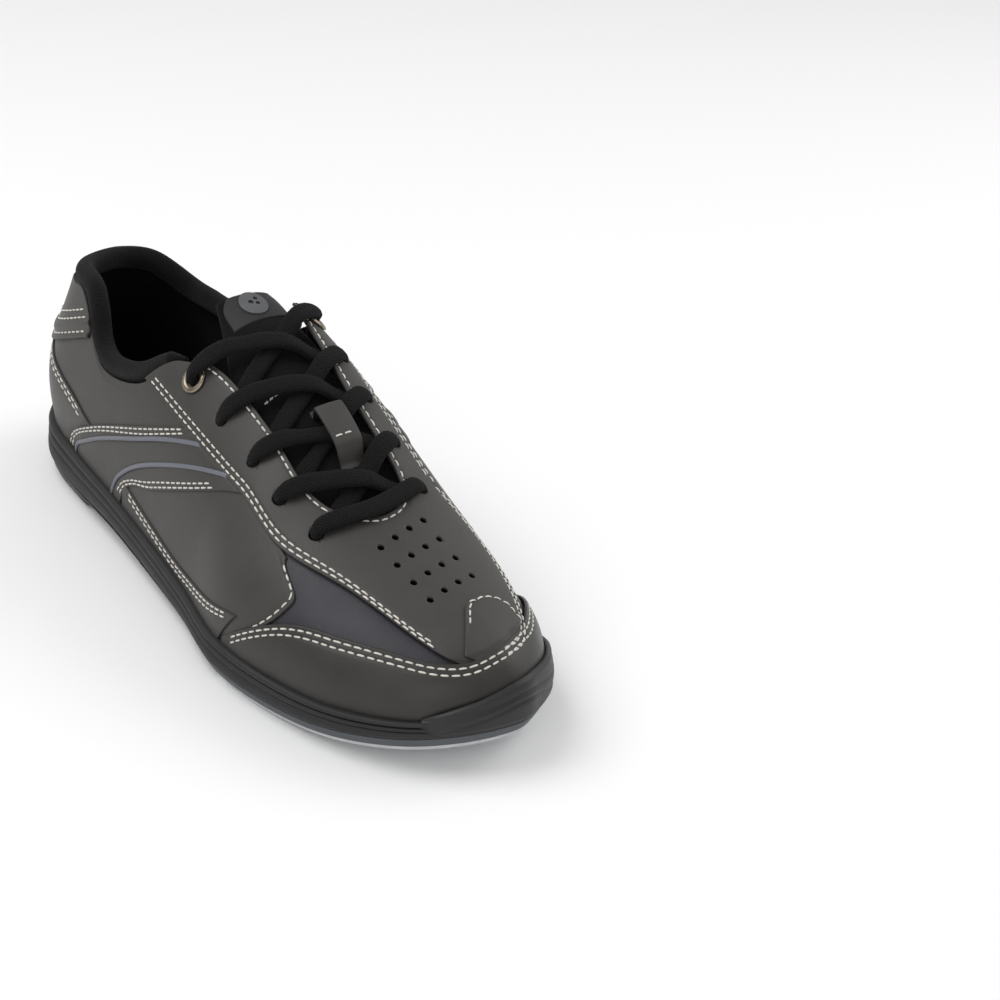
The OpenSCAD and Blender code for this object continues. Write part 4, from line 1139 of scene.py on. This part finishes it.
def build_heel():
    t = np.linspace
    counter = Patch(COUNTER_FOOT, COUNTER_TOP)
    seams = [counter.inset(1, w, t(0.05, 0.95, 160)) for w in (1.6, 3.8)]
    o = panel("heel_counter_leather", counter, OVER, "leather", 110, 20, seams=seams,
              extra=lambda p, phi, b: -1.1 * smooth((station(p) - np.interp(
                  phi, [-2, 2, 9, 21.6], [2.68, 2.76, 3.33, 4.23]) + 0.04) / 0.06))
    place(o, "shoe", "leather_charcoal", "heel_counter")

    def rise(x):
        return 74 + (np.maximum(x, -128) + 117) * 0.45

    def level(ps, offset):
        rows = []
        for p in ps:
            phis = np.linspace(8, 36, 400)
            pts = last(p, phis, OVER)
            rows.append((p, phis[int(np.argmin(np.abs(pts[:, 2] - rise(pts[:, 0]) - offset)))]))
        return np.array(rows)
    ends = np.linspace(-1.5, 2.98, 17)
    tops = np.interp(np.abs(ends), [0.02, 1.4, 2.5, 2.87, 3.1], [30.2, 32.7, 36.8, 32.4, 28.6])
    low_tops = np.interp(np.abs(ends), [0.02, 1.3, 2.2, 2.8], [30.2, 27.2, 20.6, 19.8])
    tops = np.where(ends < 0, low_tops, tops)
    foot = level(ends, -12.3)
    foot[:, 1] = np.minimum(foot[:, 1], tops - 2.5)
    tab = Patch(foot, np.column_stack([ends, tops]))

    def ribs(p, phi, base):
        z = base[..., 2]
        over = z - rise(base[..., 0])
        rib = np.exp(-((over + 6.5) / 1.8) ** 2) + 0.7 * np.exp(-((over + 11.4) / 1.3) ** 2)
        return 1.2 * np.minimum(rib, 1)
    o = panel("back_tab_leather", tab, OVER, "leather", 90, 60, extra=ribs)
    place(o, "shoe", "leather_charcoal", "back_tab")
    for offset in (0.0, -3.4, -9.4):
        row = level(np.linspace(-1.4, 2.9, 140), offset)
        keep = row[:, 1] < np.interp(row[:, 0], ends, tops) - 1.5
        for part in np.split(row, np.where(np.diff(keep.astype(int)) != 0)[0] + 1):
            if len(part) > 8 and part[len(part) // 2, 1] < np.interp(
                    part[len(part) // 2, 0], ends, tops) - 1.5:
                STITCHES.append((part, OVER + 0.25))


def build_linings():
    loop = [(-x, y) for x, y in INNER_COLLAR[:0:-1]] + COLLAR
    top = [(-7.7, 46), (-6.6, 42), (-5.6, 40)] + [
        (x, y + 0.8) for x, y in loop[2:-2]] + [(5.6, 40), (6.6, 42), (7.7, 46)]
    foot = [(k * 0.77, 0.6) for k in range(-10, 11)]
    o = panel("quarter_lining_mesh", Patch(foot, top), -3.7, "mesh", 200, 40, thick=0.8)
    place(o, "flex", "mesh_fabric", "quarter_lining")
    dome = Patch([(8 + k, 0.6) for k in range(9)], [(8 + k, 89.9) for k in range(9)])
    o = panel("vamp_lining_mesh", dome, -3.7, "mesh", 110, 36, thick=0.8, sides=(1, 0, 1, 1))
    place(o, "flex", "mesh_fabric", "vamp_lining")


# ---- tongue, collar and lacing -----------------------------------------------------------------
TONGUE_OUTER = [(-43, -8), (-30, -13), (0, -24), (30, -26), (55, -22), (64, -12)]
TONGUE_INNER = [(-43, 21), (-30, 21), (0, 26), (30, 25), (55, 21), (64, 12)]


def build_tongue():
    whole = Patch(TONGUE_OUTER, TONGUE_INNER, plan=True)
    split = 0.33

    class Part:
        def __init__(self, lo, hi):
            self.lo, self.hi = lo, hi

        def at(self, u, v):
            return whole.at(self.lo + (self.hi - self.lo) * np.asarray(u), v)

        inset = Patch.inset
    low = Part(split, 1.0)
    o = panel("tongue_padding", low, -5.0, "tongue", 90, 50, thick=3.2, puff=0.5,
              round_edge=1.5, sides=(1, 1, 0, 1))
    place(o, "flex", "mesh_fabric", "tongue")
    tip = Part(0.0, split)
    o = panel("tongue_top_padding", tip, -5.0, "tongue", 60, 50, thick=3.4, puff=0.5,
              round_edge=1.7, sides=(1, 1, 1, 0))
    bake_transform(o)
    x, y = np.full(40, 7.0) + 0.5 * (np.arange(40) % 2), np.linspace(-16, 0, 40)
    STITCHES.append((np.column_stack(chart(x, y)), -4.4))
    badge = Patch([(-41, -4), (-36, -8), (-26, -9)], [(-41, 17), (-36, 19), (-26, 19)], True)
    o = panel("tongue_badge_leather", badge, -3.9, "badge", 30, 40, thick=1.0)
    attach(o, "tongue_tip")
    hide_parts("tongue_badge")
    o = emblem("tongue_emblem", -34.5, 5.5, 6.2, -3.85)
    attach(o, "tongue_tip")


def emblem(name, cx, cy, r, d):
    """Plain grey disc with three finger holes, standing for the printed mark."""
    rings, n = 14, 72
    verts = []
    for k in range(rings + 1):
        q = r * k / rings
        for a in np.linspace(0, 2 * math.pi, n, endpoint=False):
            verts.append((cx + q * math.cos(a), cy + q * math.sin(a)))
    plan = np.array(verts)
    top = above(plan[:, 0], plan[:, 1], d + 0.25)
    low = above(plan[:, 0], plan[:, 1], d - 0.3)
    faces = grid_faces(rings + 1, n, wrap_cols=True)
    faces += [tuple(reversed([q + len(plan) for q in f])) for f in
              grid_faces(rings + 1, n, wrap_cols=True)]
    a, b = rings * n, rings * n + len(plan)
    faces += [(a + k, a + (k + 1) % n, b + (k + 1) % n, b + k) for k in range(n)]
    o = mesh_piece(name, np.concatenate([top, low]), faces, "grey_mark")
    weld(o)
    drill(o, [(cx - 0.2 * r, cy + 0.3 * r, 0.3 * r), (cx + 0.25 * r, cy + 0.25 * r, 0.3 * r),
              (cx + 0.05 * r, cy - 0.15 * r, 0.36 * r)])
    return o


COLLAR_ROUTE = [(-4.6, 49), (-4.4, 43), (-4.1, 33), (-3.75, 26), (-3.4, 23), (-3.1, 22),
                (-2.8, 21.6), (-2.5, 21.8), (-2, 23), (-1, 30), (0, 32), (1, 33), (2, 36),
                (2.5, 37), (2.8, 33.5), (3.1, 27), (3.4, 25), (3.75, 28), (4.1, 34),
                (4.4, 43), (4.6, 49)]


def build_collar():
    q = resample(smooth_curve(np.array(COLLAR_ROUTE, float), 900), 900)
    line = last(q[:, 0], q[:, 1] + 2.7, -4.2)
    line = resample(line, 420)
    for _ in range(6):
        line[1:-1] = (line[:-2] + 2 * line[1:-1] + line[2:]) / 4
    tangent = np.gradient(line, axis=0)
    tangent /= np.linalg.norm(tangent, axis=1, keepdims=True)
    centre = np.array([-80, 0, 0.0])
    out = line - centre
    out[:, 2] = 0
    out -= np.sum(out * tangent, 1, keepdims=True) * tangent
    out /= np.linalg.norm(out, axis=1, keepdims=True)
    up = np.cross(out, tangent)
    up *= np.sign(up[:, 2:3] + 1e-9)
    n = 36
    s = np.concatenate([[0], np.cumsum(np.linalg.norm(np.diff(line, axis=0), axis=1))])
    verts, uv = [], []
    for i in range(len(line)):
        end = min(1.0, min(i, len(line) - 1 - i) / 14 + 0.25)
        for k in range(n):
            a = 2 * math.pi * k / n
            # taller than wide, flatter inside, drawn in where it meets the leather
            w = 4.3 if math.cos(a) > 0 else 4.0
            pinch = 0.5 * math.exp(-((math.degrees(a) - 325) / 26) ** 2)
            verts.append(line[i] + (out[i] * math.cos(a) * (w - pinch)
                                    + up[i] * math.sin(a) * 4.7) * end)
            uv.append((s[i], a * 4.4))
    faces = grid_faces(len(line), n, wrap_cols=True)
    faces += [tuple(range(n)), tuple(range(len(verts) - 1, len(verts) - n - 1, -1))]
    o = mesh_piece("collar_roll", verts, faces, "collar", uv)
    place(o, "shoe", "mesh_fabric", "collar_padding")


LACE_W, LACE_T = 7.6, 3.0
CROSSING_T = (0, 0.14, 0.32, 0.5, 0.66, 0.83, 1)
CROSS_OVER = (-2.8, -2.4, 1.2, 1.9, 1.9, 2.6, 2.4)
CROSS_UNDER = (-2.8, -2.8, -2.8, -2.5, -1.6, 2.1, 2.4)
KEEPER_OVER = (-2.8, -2.5, -0.6, 0.3, 0.5, 2.3, 2.4)
KEEPER_UNDER = (-2.8, -3, -3.1, -3.1, -2.3, 1.9, 2.4)
BAR = [(64, -21, 2.4, 7), (66, -12, 2.8, 7.4), (67, -2, 2.9, 7.6), (65, 9, 2.8, 7.4),
       (62, 17.5, 2.4, 7)]
TAIL = [(4.98, 46, -4.8), (5.0, 42, -7.2), (5.02, 35, -7.8), (5.05, 27, -7.8)]


def eyelet(s, k):
    return (EYELETS_OUTER if s < 0 else EYELETS_INNER)[k]


def crossing(s, k):
    a, b = eyelet(s, k), eyelet(-s, k - 1)
    start = np.array([a[0] - 1.5, a[1] - s * 5])
    end = np.array([b[0] + 1.5, b[1] + s * 4])
    high = 1.1 if k == 1 else 0
    if k == 3:
        heights = KEEPER_OVER if s > 0 else KEEPER_UNDER
    else:
        heights = CROSS_OVER if s > 0 else CROSS_UNDER
    out = []
    for i, f in enumerate(CROSSING_T):
        q = start + (end - start) * f
        narrow = 0.78 if k == 3 and 1 < i < 5 else 1.0
        out.append((q[0], q[1], heights[i] + (high if i > 4 else 0), LACE_W * narrow))
    return out


def dive(s, k):
    x, y = eyelet(s, k)
    high, width = (2.7, 3.2) if k == 0 else (0.9, 4.6)
    return [(x, y, high, width), (x, y, -high, width)]


def climb(s):
    return (dive(s, 4) + crossing(s, 4) + dive(-s, 3) + crossing(-s, 3) + dive(s, 2)
            + crossing(s, 2) + dive(-s, 1) + crossing(-s, 1) + dive(s, 0))


def tail(s):
    return [(t[0] if s < 0 else 24 - t[0], t[1], t[2]) for t in TAIL]


def lace_route():
    """Rows of position, across direction and width along the whole lace."""
    rows = []

    def tail_rows(s):
        out = []
        for p, phi, d in tail(s):
            at = last(p, phi, d)
            out.append((*at, *(-s * (last(p + 0.05, phi, d) - at)), 3.6))
        return out
    rows += tail_rows(-1)[::-1]
    for x, y, d, w in climb(-1)[::-1] + BAR + climb(1):
        at = above(x, y, d)
        rows.append((*at, *(above(x + 1, y, d) - at), w))
    return np.array(rows + tail_rows(1), float)


def build_lace():
    rows = lace_route()
    across = rows[:, 3:6] / np.linalg.norm(rows[:, 3:6], axis=1, keepdims=True)
    rows = np.concatenate([rows[:, :3], across, rows[:, 6:]], 1)
    fine = row_at(rows, np.linspace(0, len(rows) - 1, (len(rows) - 1) * 14 + 1))
    fine = resample(fine, 1500)
    line = fine[:, :3]
    for _ in range(8):
        line[1:-1] = (line[:-2] + 2 * line[1:-1] + line[2:]) / 4
        fine[1:-1, 6] = (fine[:-2, 6] + 2 * fine[1:-1, 6] + fine[2:, 6]) / 4
    tangent = np.gradient(line, axis=0)
    tangent /= np.maximum(np.linalg.norm(tangent, axis=1, keepdims=True), 1e-9)
    side = fine[:, 3:6] - np.sum(fine[:, 3:6] * tangent, 1, keepdims=True) * tangent
    side /= np.linalg.norm(side, axis=1, keepdims=True)
    for _ in range(30):
        side[1:-1] = (side[:-2] + side[1:-1] + side[2:]) / 3
    side -= np.sum(side * tangent, 1, keepdims=True) * tangent
    side /= np.linalg.norm(side, axis=1, keepdims=True)
    up = np.cross(tangent, side)
    s = np.concatenate([[0], np.cumsum(np.linalg.norm(np.diff(line, axis=0), axis=1))])
    n = 28
    verts, uv = [], []
    for i in range(len(line)):
        w = fine[i, 6]
        thick = LACE_T * (1.12 + 0.12 * max(0, (5.5 - w) / 2))
        for k in range(n):
            a = 2 * math.pi * k / n
            c, h = math.cos(a), math.sin(a)
            # rounded flat section; the yarns stand up in a fine herringbone
            cx, hz = abs(c) ** 0.75 * np.sign(c), abs(h) ** 0.85 * np.sign(h)
            yarn = 0.09 * math.sin(s[i] * 2.9 + 3.0 * abs(cx) * w / 2)
            verts.append(line[i] + side[i] * (cx * (w / 2 + yarn * 0.5))
                         + up[i] * (hz * (thick / 2 + yarn)))
            uv.append((s[i], (a - math.pi) * w * 0.4))
    faces = grid_faces(len(line), n, wrap_cols=True)
    faces += [tuple(range(n)), tuple(range(len(verts) - 1, len(verts) - n - 1, -1))]
    o = mesh_piece("shoelace", verts, faces, "lace", uv)
    place(o, "flex", "lace_fabric", "lace")
    tips = []
    for t in (-1, 1):
        (a, b) = [last(*q) for q in tail(t)[2:]]
        f = (b - a) / np.linalg.norm(b - a)
        tips.append(tube("tip", [b - f * 1.0, b, b + f * 1, b + f * 11.6, b + f * 12.1],
                         [1.62, 1.7, 1.6, 1.6, 1.1], "aglet"))
    place(join("lace_tips", tips), "shoe", "aglet_plastic", "aglets")


def tube(name, points, radii, material, n=24):
    points = np.array(points, float)
    f = points[-1] - points[0]
    f /= np.linalg.norm(f)
    a = np.cross(f, [0.3, 0.9, 0.1])
    a /= np.linalg.norm(a)
    b = np.cross(f, a)
    verts = [c + r * (a * math.cos(w) + b * math.sin(w)) for c, r in zip(points, radii)
             for w in np.linspace(0, 2 * math.pi, n, endpoint=False)]
    faces = grid_faces(len(points), n, wrap_cols=True)
    faces += [tuple(range(n)), tuple(range(len(verts) - 1, len(verts) - n - 1, -1))]
    o = mesh_piece(name, verts, faces, material)
    weld(o, 1e-9)
    sharp_shading(o, 50)
    return o


def build_keeper():
    section = [(21.2, -4.4), (23.5, -4.4), (25, 0), (27, 2.6), (34, 3.2), (41, 2.6),
               (42.6, 0), (44, -4.4), (46, -4.4)]
    line = smooth_curve(np.array(section, float), 70)
    y = np.unique(np.round(np.concatenate([np.linspace(0, 1, 13), [0.02, 0.05, 0.95, 0.98]]), 4))
    half = 5.5
    xx, yy = np.meshgrid(line[:, 0], 2 + half * (2 * y - 1), indexing="ij")
    base = np.repeat(line[:, 1][:, None], len(y), 1)
    rim = np.minimum(y, 1 - y) * 2 * half
    drop = np.where(rim < 0.5, 0.5 - np.sqrt(np.maximum(0.25 - (0.5 - rim) ** 2, 0)), 0)
    top = above(xx, yy, base + 1.1 - drop[None, :])
    low = above(xx, yy, base + 0.0)
    verts, faces = closed_sheet(top, low)
    # edge attribute for the leather's painted shade along the keeper's long edges, and 1 over its
    # back face
    edge = np.tile(np.exp(-(rim / 0.4) ** 2), len(line))
    o = mesh_piece("lace_keeper_loop", verts, faces, "leather",
                   edge=np.concatenate([edge, np.ones(edge.size)]))
    place(o, "shoe", "leather_charcoal", "lace_keeper")
    x, y = np.full(40, 39.5), np.linspace(-2.6, 6.6, 40)
    STITCHES.append((np.column_stack(chart(x, y)), 4.1))


def build_grommets():
    parts = []
    section = [(2.85, -1.4), (4.6, -1.5), (4.7, -1.1), (3.1, -1), (3.1, 0.5), (5.2, 0.55),
               (5.5, 0.8), (5.35, 1.25), (4.7, 1.6), (3.9, 1.65), (3.2, 1.35), (2.85, 0.7)]
    for x, y in (EYELETS_OUTER[0], EYELETS_INNER[0]):
        p, phi = chart(x, y)
        c, f = last(p, phi, 0.0), normal(p, phi)
        a = np.cross(f, [0, 1, 0])
        a /= np.linalg.norm(a)
        b = np.cross(f, a)
        n, verts = 64, []
        for r, h in section:
            for w in np.linspace(0, 2 * math.pi, n, endpoint=False):
                verts.append(c + f * h + r * (a * math.cos(w) + b * math.sin(w)))
        faces = grid_faces(len(section), n, wrap_cols=True, wrap_rows=True)
        o = mesh_piece("ring", verts, faces, "nickel")
        weld(o, 1e-9)
        parts.append(o)
    place(join("lace_grommets", parts), "shoe", "grommet_nickel", "grommets")


def build_bumper():
    """Rubber toe guard: overlaps the midsole's face and rises over the toe cap."""
    foot = np.array([(10.3, 0), (11.2, 0), (12.3, 0), (13.6, 0), (15.2, 0)], float)
    crest = np.array([(10.3, 1.2), (11.15, 11), (12.2, 23), (13.6, 18), (15.2, 2)], float)
    nu, nv = 150, 40
    u, v = np.linspace(0, 1, nu), np.linspace(0, 1, nv)
    f, c = row_at(foot, u * 4), row_at(crest, u * 4)
    end = np.minimum(1, np.minimum(u, 1 - u) / 0.09)[:, None]
    split = 0.36
    top, low = np.zeros((nu, nv, 3)), np.zeros((nu, nv, 3))
    for j, t in enumerate(v):
        if t < split:
            k = t / split
            p = f[:, 0]
            for grid, d in ((top, 4.0), (low, 2.4)):
                depth = d - (1 - end[:, 0]) * 1.6 - 0.9 * (1 - smooth(k * 3))
                xy = rim_at(p, depth)
                z0 = deck_z(xy[:, 0]) + 0.6
                grid[:, j] = np.column_stack([xy, z0 + (feather_z(p) - z0) * k])
        else:
            k = (t - split) / (1 - split)
            q = f + (c - f) * k
            soft = 0.9 * smooth((k - 0.8) / 0.2)
            depth = 4.0 - 0.9 * smooth(k * 1.6) - (1 - end[:, 0]) * 1.6 - soft
            top[:, j] = last(q[:, 0], q[:, 1], depth)
            low[:, j] = last(q[:, 0], q[:, 1], 0.8)
    # two shallow contour lines, moulded in
    lines = []
    for level, lift in ((0.30, 0.42), (0.55, 0.25)):
        idx = np.clip((nv - 1) * (level + lift * (np.sin(np.pi * u) ** 2 - 0.5)), 1, nv - 2)
        a = np.floor(idx).astype(int)
        g = (idx - a)[:, None]
        lines.append(top[np.arange(nu), a] * (1 - g) + top[np.arange(nu), a + 1] * g)
    inward = (low - top) / np.maximum(np.linalg.norm(low - top, axis=2, keepdims=True), 1e-6)
    top = top + inward * (0.45 * near_lines(top, [l[12:-12] for l in lines], 0.7))[..., None]
    verts, faces = closed_sheet(top, low)
    o = mesh_piece("toe_bumper_rubber", verts, faces, "bumper")
    place(o, "flex", "tread_black", "toe_bumper")


# ---- stitching ---------------------------------------------------------------------------------
STITCH_L, STITCH_GAP, THREAD_R = 2.9, 0.95, 0.31


def build_stitches():
    """Every remembered row becomes a run of separate stitches, sunk at both ends."""
    runs = []
    k, m = 9, 7
    for row, top in STITCHES:
        line = last(row[:, 0], row[:, 1], top)
        up = normal(row[:, 0], row[:, 1])
        line = line + up * wobble(line)[:, None]
        s = np.concatenate([[0], np.cumsum(np.linalg.norm(np.diff(line, axis=0), axis=1))])
        pos = 0.6
        while pos + STITCH_L < s[-1]:
            length = STITCH_L * (1 + 0.06 * rng.standard_normal())
            t = np.linspace(pos, pos + length, k)
            pts = np.stack([np.interp(t, s, line[:, i]) for i in range(3)], 1)
            ups = np.stack([np.interp(t, s, up[:, i]) for i in range(3)], 1)
            pos += length + STITCH_GAP
            runs.append((pts, ups))
    verts, faces, uv = [], [], []
    for pts, ups in runs:
        tangent = np.gradient(pts, axis=0)
        tangent /= np.linalg.norm(tangent, axis=1, keepdims=True)
        side = np.cross(tangent, ups)
        side /= np.linalg.norm(side, axis=1, keepdims=True)
        start = len(verts)
        for i in range(k):
            f = i / (k - 1)
            r = THREAD_R * (0.55 + 0.45 * math.sin(math.pi * min(1, max(0, f))) ** 0.5)
            lift = 0.30 * math.sin(math.pi * f) ** 0.7 - 0.28
            for j in range(m):
                a = 2 * math.pi * j / m
                verts.append(pts[i] + ups[i] * (lift + r * math.sin(a) * 0.85)
                             + side[i] * (r * math.cos(a) * 1.25))
                uv.append((f * STITCH_L, j / m * 2.2))
        faces += grid_faces(k, m, start, wrap_cols=True)
        faces += [tuple(range(start, start + m)),
                  tuple(range(start + k * m - 1, start + (k - 1) * m - 1, -1))]
    o = mesh_piece("sewing_thread", verts, faces, "thread", uv)
    place(o, "flex", "thread_off_white")


# ---- stage -----------------------------------------------------------------------------------
FLOOR_HALF, FLOOR_Z = 4.0, -0.0002        # m
WORLD_STRENGTH = 0.56
LIGHTS = (("key", (-0.35, -0.55, 1.15), (0, 0, 0.05), 0.9, 8.5),
          ("side", (0.9, -0.75, 0.55), (0.02, 0, 0.05), 0.8, 2.4),
          ("rim", (0.2, 0.95, 0.8), (0, 0, 0.05), 0.8, 4.2))


def build_stage():
    """White floor that is clear from below, even white world and three soft area lights."""
    me = bpy.data.meshes.new("floor")
    corners = [(-1, -1), (1, -1), (1, 1), (-1, 1)]
    me.from_pydata([(x * FLOOR_HALF, y * FLOOR_HALF, FLOOR_Z) for x, y in corners],
                   [], [(0, 1, 2, 3)])
    m = bpy.data.materials.new("floor")
    m.use_nodes = True
    b = m.node_tree.nodes["Principled BSDF"]
    b.inputs["Base Color"].default_value = (0.93, 0.93, 0.93, 1)
    b.inputs["Roughness"].default_value = 0.9
    geometry = m.node_tree.nodes.new("ShaderNodeNewGeometry")
    front = m.node_tree.nodes.new("ShaderNodeMath")
    front.operation = "SUBTRACT"
    front.inputs[0].default_value = 1.0
    m.node_tree.links.new(geometry.outputs["Backfacing"], front.inputs[1])
    m.node_tree.links.new(front.outputs[0], b.inputs["Alpha"])
    me.materials.append(m)
    floor = bpy.data.objects.new("floor", me)
    bpy.context.scene.collection.objects.link(floor)
    world = bpy.data.worlds.new("studio")
    world.use_nodes = True
    world.node_tree.nodes["Background"].inputs[0].default_value = (1, 1, 1, 1)
    world.node_tree.nodes["Background"].inputs[1].default_value = WORLD_STRENGTH
    bpy.context.scene.world = world
    for name, at, aim, size, power in LIGHTS:
        data = bpy.data.lights.new(name, "AREA")
        data.energy, data.size = power, size
        light = bpy.data.objects.new(name, data)
        light.location = at
        light.rotation_euler = (Vector(aim) - Vector(at)).to_track_quat("-Z", "Y").to_euler()
        bpy.context.scene.collection.objects.link(light)
    bpy.context.scene.view_settings.view_transform = "Standard"


build_lace()
build_sole()
build_inside()
build_linings()
for side_name, mirror in (("outer", False), ("inner", True)):
    build_side(side_name, mirror)
build_heel()
build_vamp()
build_toe()
build_bumper()
build_tongue()
build_collar()
build_keeper()
build_grommets()
build_stitches()
build_stage()
